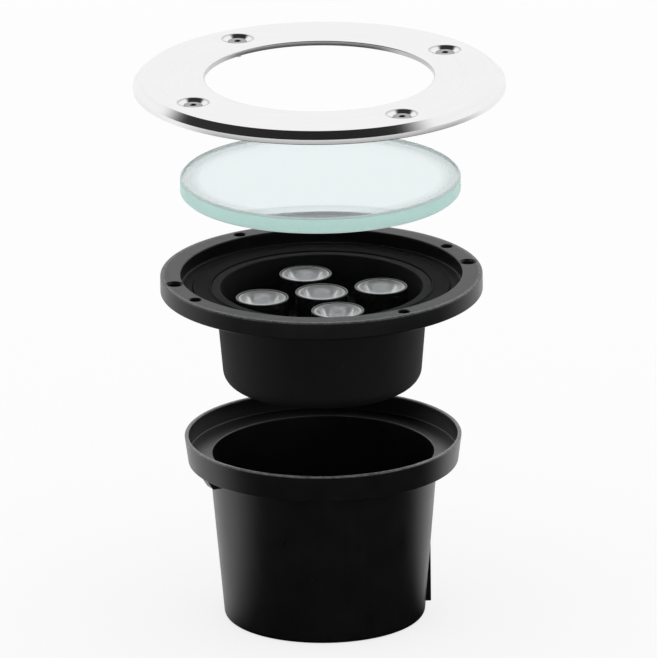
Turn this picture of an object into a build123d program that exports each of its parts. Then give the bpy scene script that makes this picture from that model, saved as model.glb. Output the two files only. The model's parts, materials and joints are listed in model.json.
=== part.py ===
"""In-ground well light, laid out along its upright axis as it comes apart.

From the bottom up: the sleeve that stays in the ground, the lamp (a cast housing that
holds the light module, the driver and the cable gland), the glass and the trim ring
with its four screws. Everything is centred on the Z axis, with Z = 0 at the sleeve's foot.
Lowering the lamp, the glass and the ring by their lifts puts the light together.
"""
from build123d import *
import math
import os

# ---------------------------------------------------------------- lifts of the layout, mm
LAMP_LIFT = 60.9               # flange underside above the sleeve's rim
GLASS_LIFT = 39.8              # glass above its gasket
RING_LIFT = 39.7               # ring plate above the glass

# ---------------------------------------------------------------- shared clearances
SLIDE_CLEARANCE = 0.3          # between pieces that lift apart
FIT_CLEARANCE = 0.1            # between pieces that stay together
CAST_DRAFT = 4.95              # draft of the sleeve's and the housing's walls, degrees
CUT_PAST = 1.0                 # how far a cutter runs past the face that it opens
EDGE_ROUND = 0.5               # on cast and moulded edges

# ---------------------------------------------------------------- sleeve
SLEEVE_HEIGHT = 76.4
SLEEVE_FOOT_DIAMETER = 80.8
SLEEVE_WALL = 1.7
SLEEVE_FLOOR = 2.4
SLEEVE_FOOT_ROUND = 2.4
SLEEVE_RIM_DIAMETER = 112.0
SLEEVE_RIM_HEIGHT = 11.0       # outside, from the rim's top down to its skirt
SLEEVE_RIM_DRAFT = 7.8         # degrees
SLEEVE_LIP = 1.75              # width of the rim's top face
SLEEVE_RECESS_DEPTH = 7.6      # inside, from the rim's top down to its ledge
FLOOR_OPENING_DIAMETER = 56.0  # drain and cable way
LUG_REACH = 53.4               # radius of a lug's outer face under the rim
LUG_WIDTH = 6.0
LUG_DROP = 4.7
LUG_SLANT = 3.0                # how far a lug's outer face leans in at its foot
LUG_ROOT = 1.0                 # how far a lug runs up into the rim
LUG_AZIMUTH = 205.0
LUG_COUNT = 2
KEY_REACH = 42.9               # radius of the key rib's upright face
KEY_WIDTH = 6.0
KEY_FOOT = 4.4                 # height of the key rib's flat lower end
KEY_AZIMUTH = 4.0
SLEEVE_FLOOR_ROUND = 1.5

# ---------------------------------------------------------------- housing
FLANGE_DIAMETER = 130.0
FLANGE_THICKNESS = 7.2
FLANGE_ROUND = 0.6
SEAT_STEP_DEPTH = 4.0          # step under the flange, which sits in the sleeve's recess
SEAT_STEP_ROUND = 0.7
BODY_DIAMETER = 86.0           # at the flange's underside
BODY_DEPTH = 39.0              # below the flange's underside
BODY_WALL = 2.3
BODY_FLOOR = 3.0
BODY_FOOT_ROUND = 6.5
RECESS_DEPTH = 5.6             # glass recess
GROOVE_DEPTH = 1.4             # gasket groove in the recess floor
FIXING_HOLE_DIAMETER = 5.5
FIXING_SINK_DIAMETER = 7.2
FIXING_HOLE_AZIMUTH = 12.0
FIXING_HOLE_COUNT = 2
HOLE_CHAMFER = 0.4

# ---------------------------------------------------------------- gasket and glass
GASKET_INSET = 4.5             # from the glass's edge
GASKET_WIDTH = 7.5             # covers most of the ledge under the glass
GASKET_STAND = 0.6             # height above the recess floor
GASKET_BEVEL = 0.3
GLASS_DIAMETER = 113.0
GLASS_THICKNESS = 6.8
GLASS_CHAMFER = 0.8

# ---------------------------------------------------------------- trim ring
RING_DIAMETER = 150.0
RING_OPENING_DIAMETER = 92.5
RING_PLATE = 2.0
RING_HEIGHT = 5.0              # with the turned-down rim
RING_RIM_WALL = 2.2
RING_BEVEL_WIDTH = 3.0
RING_BEVEL_DROP = 2.8
RING_EDGE_ROUND = 0.3
RING_RIM_ROUND = 1.0           # inside, where the rim turns down
DISH_DIAMETER = 12.8           # shallow pressed dish round each screw
DISH_DEPTH = 1.2
DIMPLE_WALL = 0.9              # how far a dish's back stands wider than the dish
DIMPLE_DROP = 1.4              # and lower than the plate's underside

# ---------------------------------------------------------------- ring screws
SCREW_CIRCLE_DIAMETER = 121.0
SCREW_AZIMUTH = 33.0
SCREW_COUNT = 4
SCREW_DIAMETER = 4.0
SCREW_LENGTH = 6.5
SCREW_HEAD_DIAMETER = 7.6
SCREW_HEAD_RIM = 0.35
SCREW_SEAT_GAP = 0.15
SCREW_HEAD_ROUND = 0.15
SCREW_TIP_ROUND = 0.4
SOCKET_ACROSS_FLATS = 2.5
SOCKET_DEPTH = 1.5

# ---------------------------------------------------------------- light module
LENS_DROP = 8.0                # lens holders below the flange's top
LENS_CIRCLE_DIAMETER = 49.6
LENS_CIRCLE_COUNT = 4
LENS_AZIMUTH = 15.0
HOLDER_DIAMETER = 21.5
HOLDER_HEIGHT = 12.5
HOLDER_WALL = 0.9
HOLDER_BASE = 1.2
HOLDER_ROUND = 0.3
CLIP_WIDTH = 2.4
CLIP_PROUD = 0.8
CLIP_HEIGHT = 1.6
CLIP_COUNT = 2
CLIP_AZIMUTH = 302.0
LENS_RIM_HEIGHT = 1.2
LENS_SUNK = 0.3                # lens's edge below the holder's rim
LENS_NECK_DIAMETER = 8.0
LENS_POCKET_DIAMETER = 5.6
LENS_POCKET_DEPTH = 4.2
LENS_FACE_CROWN = 1.1          # how far the face rises in the middle
LENS_FACE_BORDER = 0.4         # flat border round the crown
LENS_RIM_ROUND = 0.2
REFLECTOR_WALL = 0.5
EMITTER_SIDE = 3.5
EMITTER_BASE = 1.0
EMITTER_DOME_DIAMETER = 2.6
BOARD_DIAMETER = 76.0
BOARD_THICKNESS = 1.6
PAD_THICKNESS = 0.5
PLATE_THICKNESS = 3.0
BOSS_CIRCLE_DIAMETER = 64.0
BOSS_COUNT = 4
BOSS_AZIMUTH = 60.0
BOSS_DIAMETER = 8.0
BOSS_WEB = 2.0
BOSS_HOLE_FLOOR = 2.0          # left below a boss's screw hole
BOARD_SCREW_DIAMETER = 3.0
BOARD_SCREW_LENGTH = 12.0
BOARD_SCREW_HEAD_DIAMETER = 5.6
BOARD_SCREW_HEAD_HEIGHT = 2.0
LEAD_HOLE_DIAMETER = 7.0
LEAD_X = 17.3                  # where the leads pass the plate and the board
LEAD_Y = -10.0

# ---------------------------------------------------------------- driver
DRIVER_LENGTH = 44.0
DRIVER_WIDTH = 26.0
DRIVER_THICKNESS = 1.6
DRIVER_CENTRE_Y = -10.0
DRIVER_CORNER_ROUND = 1.5
STANDOFF_HEIGHT = 4.0
STANDOFF_DIAMETER = 6.0
STANDOFF_INSET = 3.2
DRIVER_SCREW_DIAMETER = 2.5
DRIVER_SCREW_LENGTH = 5.0
DRIVER_SCREW_HEAD_DIAMETER = 4.4
DRIVER_SCREW_HEAD_HEIGHT = 1.6
SLOT_REACH = 0.6               # of a cross slot, as a share of the head
SLOT_WIDTH = 0.25              # as a share of the screw
CAN_ROUND = 0.5
CHOKE_ROUND = 0.8
INDUCTOR_DIAMETER = 11.0
INDUCTOR_HEIGHT = 7.5
INDUCTOR_BORE = 4.0
INDUCTOR_X = -9.0
CAPACITOR_DIAMETER = 6.3
CAPACITOR_HEIGHT = 9.0
CAPACITOR_COUNT = 2
CAPACITOR_PITCH = 8.0
CAPACITOR_X = 12.0
TERMINAL_LENGTH = 11.0
TERMINAL_WIDTH = 7.0
TERMINAL_HEIGHT = 8.0
TERMINAL_HOLE_DIAMETER = 2.6
TERMINAL_PITCH = 5.0
TERMINAL_SCREW_DEPTH = 2.0
TERMINAL_CHAMFER = 0.5
LEAD_DIAMETER = 1.4
LEAD_PITCH = 2.6
LEAD_REACH = 6.5               # run of a lead along the light board
LEAD_BEND = 2.0

# ---------------------------------------------------------------- cable gland
GLAND_Y = 20.0
GLAND_BORE = 7.0               # for a cable of about 6.5 mm
GLAND_THREAD_DIAMETER = 12.0
GLAND_HEX = 16.0               # across flats
GLAND_HEX_HEIGHT = 4.0
GLAND_INNER_LENGTH = 9.5       # thread above the hexagon
GLAND_BARREL_DIAMETER = 11.2
GLAND_BARREL_LENGTH = 5.0
GLAND_SEAL_DIAMETER = 9.4
GLAND_SEAL_LENGTH = 5.0
GLAND_NUT_HEX = 15.0
GLAND_NUT_HEIGHT = 8.0
GLAND_NUT_LIP = 2.4            # closed end of the nut, round the cable
GLAND_NUT_ROUND = 2.0
GLAND_NUT_DOME = 0.4           # how far the domed end stands out past the flats
LOCK_NUT_HEX = 17.0
LOCK_NUT_HEIGHT = 4.0
GLAND_RING_DIAMETER = 15.6
GLAND_RING_HEIGHT = 1.2

# ---------------------------------------------------------------- levels and radii that follow
DRAFT = math.tan(math.radians(CAST_DRAFT))
FLANGE_TOP_Z = SLEEVE_HEIGHT + LAMP_LIFT + FLANGE_THICKNESS
GLASS_Z = FLANGE_TOP_Z - RECESS_DEPTH + GASKET_STAND + GLASS_LIFT
RING_Z = GLASS_Z + GLASS_THICKNESS + RING_LIFT     # plate's underside
SLEEVE_LEDGE_Z = SLEEVE_HEIGHT - SLEEVE_RECESS_DEPTH
SLEEVE_SKIRT_Z = SLEEVE_HEIGHT - SLEEVE_RIM_HEIGHT
SCREW_CIRCLE = SCREW_CIRCLE_DIAMETER / 2
SCREW_HOLE_RADIUS = SCREW_DIAMETER / 2 + SLIDE_CLEARANCE
GASKET_RADIUS = GLASS_DIAMETER / 2 - GASKET_INSET
SEAT_STEP_RADIUS = SLEEVE_RIM_DIAMETER / 2 - SLEEVE_LIP - SLIDE_CLEARANCE

# Levels inside the lamp are measured from the flange's top, which is 0.
BODY_FOOT = -FLANGE_THICKNESS - BODY_DEPTH
BODY_FLOOR_TOP = BODY_FOOT + BODY_FLOOR
BOARD_TOP = -LENS_DROP - HOLDER_HEIGHT
PAD_TOP = BOARD_TOP - BOARD_THICKNESS
PLATE_TOP = PAD_TOP - PAD_THICKNESS
PLATE_FOOT = PLATE_TOP - PLATE_THICKNESS
DRIVER_FOOT = BODY_FLOOR_TOP + STANDOFF_HEIGHT
DRIVER_TOP = DRIVER_FOOT + DRIVER_THICKNESS
DRIVER_HOLE_X = DRIVER_LENGTH / 2 - STANDOFF_INSET
DRIVER_HOLE_Y = DRIVER_WIDTH / 2 - STANDOFF_INSET
GLAND_TOP = BODY_FOOT - GLAND_RING_HEIGHT          # hexagon's upper face


def turned(*outline):
    """A body turned about Z from a closed outline of (radius, height, corner round) points."""
    corners = [(point[0], 0, point[1]) for point in outline]
    rounds = [point[2] if len(point) > 2 else 0 for point in outline]
    return revolve(make_face(FilletPolyline(*corners, radius=rounds, close=True)), axis=Axis.Z)


def rod(radius, foot, top):
    """An upright round bar between two levels."""
    return Pos(0, 0, foot) * Cylinder(radius, top - foot, align=(Align.CENTER, Align.CENTER, Align.MIN))


def hexagon(across_flats, foot, top):
    """An upright hexagonal bar between two levels."""
    outline = RegularPolygon(across_flats / 2, 6, major_radius=False)
    return Pos(0, 0, foot) * extrude(outline, top - foot)


def on_circle(count, azimuth, radius):
    """Places spread evenly on a circle about Z, each turned to face outwards."""
    return [Rot(0, 0, azimuth + 360 / count * turn) * Pos(radius, 0, 0) for turn in range(count)]


def fin(width, *outline):
    """A flat rib in the plane of the axis, from an outline of (radius, height) points."""
    face = make_face(Polyline(*[(radius, 0, height) for radius, height in outline], close=True))
    return extrude(face, width / 2, dir=(0, 1, 0), both=True)


def sleeve_radius(height):
    """Outside radius of the sleeve's wall at a height above its foot."""
    return SLEEVE_FOOT_DIAMETER / 2 + height * DRAFT


def body_radius(level):
    """Outside radius of the housing's wall at a level in the lamp."""
    return BODY_DIAMETER / 2 + (level + FLANGE_THICKNESS) * DRAFT


def mounting_sleeve():
    """Cup with a stepped rim that stays in the ground, open below for drainage and cable."""
    rim = SLEEVE_RIM_DIAMETER / 2
    skirt = rim - SLEEVE_RIM_HEIGHT * math.tan(math.radians(SLEEVE_RIM_DRAFT))
    lip = rim - SLEEVE_LIP
    way = FLOOR_OPENING_DIAMETER / 2
    cup = turned(
        (way, 0), (sleeve_radius(0), 0, SLEEVE_FOOT_ROUND),
        (sleeve_radius(SLEEVE_SKIRT_Z), SLEEVE_SKIRT_Z, EDGE_ROUND), (skirt, SLEEVE_SKIRT_Z, EDGE_ROUND),
        (rim, SLEEVE_HEIGHT, EDGE_ROUND), (lip, SLEEVE_HEIGHT, EDGE_ROUND),
        (lip, SLEEVE_LEDGE_Z, EDGE_ROUND),
        (sleeve_radius(SLEEVE_LEDGE_Z) - SLEEVE_WALL, SLEEVE_LEDGE_Z, EDGE_ROUND),
        (sleeve_radius(SLEEVE_FLOOR) - SLEEVE_WALL, SLEEVE_FLOOR, SLEEVE_FLOOR_ROUND), (way, SLEEVE_FLOOR),
    )
    wall_middle = SLEEVE_WALL / 2
    lug_foot = SLEEVE_SKIRT_Z - LUG_DROP
    lug = fin(
        LUG_WIDTH,
        (sleeve_radius(lug_foot) - wall_middle, lug_foot), (LUG_REACH - LUG_SLANT, lug_foot),
        (LUG_REACH, SLEEVE_SKIRT_Z), (LUG_REACH, SLEEVE_SKIRT_Z + LUG_ROOT),
        (sleeve_radius(SLEEVE_SKIRT_Z) - wall_middle, SLEEVE_SKIRT_Z + LUG_ROOT),
    )
    key_top = (KEY_REACH + wall_middle - sleeve_radius(0)) / DRAFT
    key = fin(
        KEY_WIDTH,
        (sleeve_radius(KEY_FOOT) - wall_middle, KEY_FOOT), (KEY_REACH, KEY_FOOT), (KEY_REACH, key_top),
    )
    lugs = [place * lug for place in on_circle(LUG_COUNT, LUG_AZIMUTH, 0)]
    return cup + lugs + Rot(0, 0, KEY_AZIMUTH) * key


def board_hole(radius):
    """Cutters for the light module's screw holes, one over each boss."""
    places = on_circle(BOSS_COUNT, BOSS_AZIMUTH, BOSS_CIRCLE_DIAMETER / 2)
    return [place * rod(radius, BODY_FLOOR_TOP + BOSS_HOLE_FLOOR, BOARD_TOP + CUT_PAST) for place in places]


def driver_places():
    """The driver board's four corner holes."""
    corners = GridLocations(2 * DRIVER_HOLE_X, 2 * DRIVER_HOLE_Y, 2, 2)
    return [Pos(0, DRIVER_CENTRE_Y, 0) * corner for corner in corners]


def sunk_hole(hole, mouth, depth):
    """Cutter for a through hole whose mouth, at level 0, widens at 45 degrees to a larger radius."""
    return turned(
        (0, -depth - CUT_PAST), (hole, -depth - CUT_PAST), (hole, hole - mouth), (mouth, 0),
        (mouth, CUT_PAST), (0, CUT_PAST),
    )


def gland_hole(foot, top):
    """Cutter for the way of the gland's threaded stub between two levels."""
    return rod(GLAND_THREAD_DIAMETER / 2 + FIT_CLEARANCE, foot - CUT_PAST, top + CUT_PAST)


def housing():
    """Cast cup with a wide flange, the glass recess, and bosses for what it holds."""
    flange = FLANGE_DIAMETER / 2
    recess = GLASS_DIAMETER / 2 + SLIDE_CLEARANCE
    step_foot = -FLANGE_THICKNESS - SEAT_STEP_DEPTH
    groove_outer = GASKET_RADIUS + FIT_CLEARANCE
    groove_inner = GASKET_RADIUS - GASKET_WIDTH - FIT_CLEARANCE
    groove_foot = -RECESS_DEPTH - GROOVE_DEPTH
    cup = turned(
        (0, BODY_FOOT), (body_radius(BODY_FOOT), BODY_FOOT, BODY_FOOT_ROUND),
        (body_radius(step_foot), step_foot, SEAT_STEP_ROUND), (SEAT_STEP_RADIUS, step_foot, SEAT_STEP_ROUND),
        (SEAT_STEP_RADIUS, -FLANGE_THICKNESS), (flange, -FLANGE_THICKNESS, FLANGE_ROUND),
        (flange, 0, FLANGE_ROUND), (recess, 0, EDGE_ROUND),
        (recess, -RECESS_DEPTH), (groove_outer, -RECESS_DEPTH),
        (groove_outer, groove_foot), (groove_inner, groove_foot), (groove_inner, -RECESS_DEPTH),
        (body_radius(-RECESS_DEPTH) - BODY_WALL, -RECESS_DEPTH, EDGE_ROUND),
        (body_radius(BODY_FLOOR_TOP) - BODY_WALL, BODY_FLOOR_TOP, BODY_FOOT_ROUND - BODY_WALL),
        (0, BODY_FLOOR_TOP),
    )
    boss_circle = BOSS_CIRCLE_DIAMETER / 2
    web = fin(
        BOSS_WEB,
        (boss_circle, BODY_FLOOR_TOP), (body_radius(BODY_FLOOR_TOP) - BODY_WALL, BODY_FLOOR_TOP),
        (body_radius(PLATE_FOOT) - BODY_WALL / 2, PLATE_FOOT), (boss_circle, PLATE_FOOT),
    )
    webs = [place * web for place in on_circle(BOSS_COUNT, BOSS_AZIMUTH, 0)]
    boss = rod(BOSS_DIAMETER / 2, BODY_FLOOR_TOP - FIT_CLEARANCE, PLATE_FOOT)
    bosses = [place * boss for place in on_circle(BOSS_COUNT, BOSS_AZIMUTH, boss_circle)]
    standoff = rod(STANDOFF_DIAMETER / 2, BODY_FLOOR_TOP - FIT_CLEARANCE, DRIVER_FOOT)
    cup += webs + bosses + [place * standoff for place in driver_places()]

    screw_hole = sunk_hole(SCREW_HOLE_RADIUS, SCREW_HOLE_RADIUS + HOLE_CHAMFER, FLANGE_THICKNESS)
    fixing_hole = sunk_hole(FIXING_HOLE_DIAMETER / 2, FIXING_SINK_DIAMETER / 2, FLANGE_THICKNESS)
    cup -= [place * screw_hole for place in on_circle(SCREW_COUNT, SCREW_AZIMUTH, SCREW_CIRCLE)]
    cup -= [place * fixing_hole
            for place in on_circle(FIXING_HOLE_COUNT, FIXING_HOLE_AZIMUTH, SCREW_CIRCLE)]
    cup -= board_hole(BOARD_SCREW_DIAMETER / 2 + FIT_CLEARANCE)
    pilot_foot = DRIVER_TOP - DRIVER_SCREW_LENGTH - FIT_CLEARANCE
    pilot = rod(DRIVER_SCREW_DIAMETER / 2 + FIT_CLEARANCE, pilot_foot, DRIVER_FOOT + CUT_PAST)
    cup -= [place * pilot for place in driver_places()]
    return cup - Pos(0, GLAND_Y, 0) * gland_hole(BODY_FOOT, BODY_FLOOR_TOP)


def seat_gasket():
    """Flat-topped rubber ring in the groove under the glass."""
    outer = GASKET_RADIUS
    foot = -RECESS_DEPTH - GROOVE_DEPTH
    top = -RECESS_DEPTH + GASKET_STAND
    return turned(
        (outer - GASKET_WIDTH, foot), (outer, foot), (outer, top - GASKET_BEVEL),
        (outer - GASKET_BEVEL, top), (outer - GASKET_WIDTH + GASKET_BEVEL, top),
        (outer - GASKET_WIDTH, top - GASKET_BEVEL),
    )


def glass_lens():
    """Thick toughened disc with ground edges."""
    edge = GLASS_DIAMETER / 2
    return turned(
        (0, 0), (edge - GLASS_CHAMFER, 0), (edge, GLASS_CHAMFER),
        (edge, GLASS_THICKNESS - GLASS_CHAMFER), (edge - GLASS_CHAMFER, GLASS_THICKNESS),
        (0, GLASS_THICKNESS),
    )


def trim_ring():
    """Flat ring with a bevelled, turned-down rim and a pressed dish round each screw."""
    edge = RING_DIAMETER / 2
    opening = RING_OPENING_DIAMETER / 2
    foot = RING_PLATE - RING_HEIGHT
    plate = turned(
        (opening, 0, RING_EDGE_ROUND), (edge - RING_RIM_WALL, 0, RING_RIM_ROUND),
        (edge - RING_RIM_WALL, foot), (edge, foot, RING_EDGE_ROUND),
        (edge, RING_PLATE - RING_BEVEL_DROP, RING_EDGE_ROUND),
        (edge - RING_BEVEL_WIDTH, RING_PLATE, RING_EDGE_ROUND), (opening, RING_PLATE, RING_EDGE_ROUND),
    )
    dish = DISH_DIAMETER / 2
    dimple = turned(
        (0, -DIMPLE_DROP), (dish - DIMPLE_DROP, -DIMPLE_DROP), (dish + DIMPLE_WALL, 0),
        (dish + DIMPLE_WALL, RING_PLATE / 2), (0, RING_PLATE / 2),
    )
    places = on_circle(SCREW_COUNT, SCREW_AZIMUTH, SCREW_CIRCLE)
    glass_way = rod(GLASS_DIAMETER / 2 + SLIDE_CLEARANCE, -DIMPLE_DROP - CUT_PAST, 0)
    dimples = [place * dimple - glass_way for place in places]
    head = SCREW_HEAD_DIAMETER / 2 + SLIDE_CLEARANCE
    seat_foot = RING_PLATE - DISH_DEPTH - (head - SCREW_HOLE_RADIUS)
    sink = turned(
        (0, -DIMPLE_DROP - CUT_PAST), (SCREW_HOLE_RADIUS, -DIMPLE_DROP - CUT_PAST),
        (SCREW_HOLE_RADIUS, seat_foot), (head, RING_PLATE - DISH_DEPTH), (dish, RING_PLATE),
        (dish, RING_PLATE + CUT_PAST), (0, RING_PLATE + CUT_PAST),
    )
    return plate + dimples - [place * sink for place in places]


def ring_screws():
    """Countersunk socket screws seated in the ring, as separate solids."""
    head = SCREW_HEAD_DIAMETER / 2
    shank = SCREW_DIAMETER / 2
    cone_top = RING_PLATE - DISH_DEPTH - SLIDE_CLEARANCE + SCREW_SEAT_GAP
    top = cone_top + SCREW_HEAD_RIM
    screw = turned(
        (0, top - SCREW_LENGTH), (shank, top - SCREW_LENGTH, SCREW_TIP_ROUND),
        (shank, cone_top - head + shank), (head, cone_top), (head, top, SCREW_HEAD_ROUND), (0, top),
    )
    screw -= hexagon(SOCKET_ACROSS_FLATS, top - SOCKET_DEPTH, top + CUT_PAST)
    return [place * screw for place in on_circle(SCREW_COUNT, SCREW_AZIMUTH, SCREW_CIRCLE)]


def lens_places():
    """The middle lens and the four round it, by the names they go by seen from the front."""
    around = on_circle(LENS_CIRCLE_COUNT, LENS_AZIMUTH, LENS_CIRCLE_DIAMETER / 2)
    upright = [Pos(*place.position) for place in around]
    return {"centre": Pos(0, 0, 0), **dict(zip(("right", "back", "left", "front"), upright))}


def lens_holder():
    """Round cup that stands on the light board, with clips round its rim."""
    outer = HOLDER_DIAMETER / 2
    inner = outer - HOLDER_WALL
    top = -LENS_DROP
    shelf = lens_levels()[2]
    cup = turned(
        (LENS_NECK_DIAMETER / 2 + FIT_CLEARANCE, BOARD_TOP), (outer, BOARD_TOP), (outer, top, HOLDER_ROUND),
        (inner, top), (inner, shelf), (inner - HOLDER_WALL, shelf),
        (inner - HOLDER_WALL, BOARD_TOP + HOLDER_BASE),
        (LENS_NECK_DIAMETER / 2 + FIT_CLEARANCE, BOARD_TOP + HOLDER_BASE),
    )
    clip = Pos(outer - HOLDER_WALL / 2, 0, top - CLIP_HEIGHT) * Box(
        HOLDER_WALL + 2 * CLIP_PROUD, CLIP_WIDTH, CLIP_HEIGHT, align=(Align.CENTER, Align.CENTER, Align.MAX))
    return cup + [place * clip - rod(outer - HOLDER_WALL / 2, BOARD_TOP, top)
                  for place in on_circle(CLIP_COUNT, CLIP_AZIMUTH, 0)]


def lens_levels():
    """Foot of a lens, the end of its cone, its shelf and its edge."""
    edge = -LENS_DROP - LENS_SUNK
    shelf = edge - LENS_RIM_HEIGHT
    return BOARD_TOP + EMITTER_BASE, shelf - HOLDER_WALL, shelf, edge


def cone_radius(level):
    """Radius of a lens's cone at a level."""
    foot, cone_end, shelf, edge = lens_levels()
    neck = LENS_NECK_DIAMETER / 2
    widest = HOLDER_DIAMETER / 2 - 2 * HOLDER_WALL - REFLECTOR_WALL - 2 * FIT_CLEARANCE
    return neck + (widest - neck) * (level - foot) / (cone_end - foot)


def collimator_lens():
    """Solid cone lens with a pocket over its emitter and a crowned face."""
    foot, cone_end, shelf, edge = lens_levels()
    rim = HOLDER_DIAMETER / 2 - HOLDER_WALL - FIT_CLEARANCE
    pocket = LENS_POCKET_DIAMETER / 2
    body = turned(
        (0, foot), (cone_radius(foot), foot), (cone_radius(cone_end), cone_end),
        (cone_radius(cone_end), shelf), (rim, shelf), (rim, edge, LENS_RIM_ROUND), (0, edge),
    )
    crown_radius = (rim ** 2 + LENS_FACE_CROWN ** 2) / (2 * LENS_FACE_CROWN)
    crown = Pos(0, 0, edge + LENS_FACE_CROWN - crown_radius) * Sphere(crown_radius)
    crown &= rod(rim - LENS_FACE_BORDER, edge, edge + LENS_FACE_CROWN)
    return body + crown - rod(pocket, foot - CUT_PAST, foot + LENS_POCKET_DEPTH)


def lens_reflectors():
    """Silvered cup round each lens's cone, standing on the holder's base."""
    cone_end = lens_levels()[1]
    foot = BOARD_TOP + HOLDER_BASE
    inner_foot = cone_radius(foot) + FIT_CLEARANCE
    inner_top = cone_radius(cone_end) + FIT_CLEARANCE
    cup = turned(
        (inner_foot, foot), (inner_foot + REFLECTOR_WALL, foot), (inner_top + REFLECTOR_WALL, cone_end),
        (inner_top, cone_end),
    )
    return [place * cup for place in lens_places().values()]


def led_emitters():
    """Square chip with a dome, under each lens."""
    base = Pos(0, 0, BOARD_TOP) * Box(
        EMITTER_SIDE, EMITTER_SIDE, EMITTER_BASE, align=(Align.CENTER, Align.CENTER, Align.MIN))
    ball = Pos(0, 0, BOARD_TOP + EMITTER_BASE) * Sphere(EMITTER_DOME_DIAMETER / 2)
    dome = ball - rod(EMITTER_DOME_DIAMETER, BOARD_TOP - CUT_PAST, BOARD_TOP + EMITTER_BASE / 2)
    return [place * (base + dome) for place in lens_places().values()]


def module_disc(foot, top):
    """One layer of the light module, with its screw holes and the hole for the leads."""
    disc = rod(BOARD_DIAMETER / 2, foot, top)
    disc -= board_hole(BOARD_SCREW_DIAMETER / 2 + FIT_CLEARANCE)
    return disc - Pos(LEAD_X, LEAD_Y, 0) * rod(LEAD_HOLE_DIAMETER / 2, foot - CUT_PAST, top + CUT_PAST)


def pan_screw(diameter, length, head_diameter, head_height, seat):
    """Pan head screw with a cross slot, its head resting on a level."""
    screw = turned(
        (0, seat - length), (diameter / 2, seat - length, SCREW_TIP_ROUND), (diameter / 2, seat),
        (head_diameter / 2, seat), (head_diameter / 2, seat + head_height, head_height / 2),
        (0, seat + head_height),
    )
    slot = Pos(0, 0, seat + head_height) * Box(
        head_diameter * SLOT_REACH, diameter * SLOT_WIDTH, head_height)
    return screw - slot - Rot(0, 0, 90) * slot


def board_screws():
    """Screws that hold the light module down on its bosses."""
    screw = pan_screw(BOARD_SCREW_DIAMETER, BOARD_SCREW_LENGTH, BOARD_SCREW_HEAD_DIAMETER,
                      BOARD_SCREW_HEAD_HEIGHT, BOARD_TOP)
    return [place * screw for place in on_circle(BOSS_COUNT, BOSS_AZIMUTH, BOSS_CIRCLE_DIAMETER / 2)]


def driver_board():
    """Small circuit board on standoffs above the housing's floor."""
    outline = RectangleRounded(DRIVER_LENGTH, DRIVER_WIDTH, DRIVER_CORNER_ROUND)
    board = Pos(0, DRIVER_CENTRE_Y, DRIVER_FOOT) * extrude(outline, DRIVER_THICKNESS)
    hole = rod(DRIVER_SCREW_DIAMETER / 2 + FIT_CLEARANCE, DRIVER_FOOT - CUT_PAST, DRIVER_TOP + CUT_PAST)
    return board - [place * hole for place in driver_places()]


def driver_screws():
    """Screws that hold the driver board on its standoffs."""
    screw = pan_screw(DRIVER_SCREW_DIAMETER, DRIVER_SCREW_LENGTH, DRIVER_SCREW_HEAD_DIAMETER,
                      DRIVER_SCREW_HEAD_HEIGHT, DRIVER_TOP)
    return [place * screw for place in driver_places()]


def driver_inductor():
    """Wound choke standing on the driver board."""
    ring = turned(
        (INDUCTOR_BORE / 2, DRIVER_TOP), (INDUCTOR_DIAMETER / 2, DRIVER_TOP),
        (INDUCTOR_DIAMETER / 2, DRIVER_TOP + INDUCTOR_HEIGHT, CHOKE_ROUND),
        (INDUCTOR_BORE / 2, DRIVER_TOP + INDUCTOR_HEIGHT, CHOKE_ROUND),
    )
    return Pos(INDUCTOR_X, DRIVER_CENTRE_Y, 0) * ring


def driver_capacitors():
    """Upright round capacitors, as separate solids."""
    can = turned(
        (0, DRIVER_TOP), (CAPACITOR_DIAMETER / 2, DRIVER_TOP),
        (CAPACITOR_DIAMETER / 2, DRIVER_TOP + CAPACITOR_HEIGHT, CAN_ROUND),
        (0, DRIVER_TOP + CAPACITOR_HEIGHT),
    )
    first = DRIVER_CENTRE_Y - CAPACITOR_PITCH * (CAPACITOR_COUNT - 1) / 2
    return [Pos(CAPACITOR_X, first + CAPACITOR_PITCH * step, 0) * can for step in range(CAPACITOR_COUNT)]


def terminal_block():
    """Two-way terminal for the supply cable's cores, at the board's gland side."""
    centre_y = DRIVER_CENTRE_Y + DRIVER_WIDTH / 2 - TERMINAL_WIDTH / 2
    block = Pos(0, centre_y, DRIVER_TOP) * Box(
        TERMINAL_LENGTH, TERMINAL_WIDTH, TERMINAL_HEIGHT, align=(Align.CENTER, Align.CENTER, Align.MIN))
    block = chamfer(block.edges().group_by(Axis.Z)[-1], TERMINAL_CHAMFER)
    entry = Rot(90, 0, 0) * Cylinder(TERMINAL_HOLE_DIAMETER / 2, TERMINAL_WIDTH)
    edge_y = centre_y + TERMINAL_WIDTH / 2
    for side in (-1, 1):
        x = side * TERMINAL_PITCH / 2
        block -= Pos(x, edge_y, DRIVER_TOP + TERMINAL_HOLE_DIAMETER) * entry
        block -= Pos(x, centre_y, DRIVER_TOP + TERMINAL_HEIGHT) * rod(
            TERMINAL_HOLE_DIAMETER / 2, -TERMINAL_SCREW_DEPTH, CUT_PAST)
    return block


def led_leads():
    """Two insulated wires from the driver up through the plate and onto the light board."""
    radius = LEAD_DIAMETER / 2
    above_board = BOARD_TOP + radius
    rise = FilletPolyline(
        (0, 0, DRIVER_TOP), (0, 0, above_board), (-LEAD_REACH, 0, above_board), radius=[LEAD_BEND])
    wire = sweep(Plane(origin=(0, 0, DRIVER_TOP)) * Circle(radius), path=rise)
    return [Pos(LEAD_X, LEAD_Y + side * LEAD_PITCH / 2, 0) * wire for side in (-1, 1)]


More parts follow.
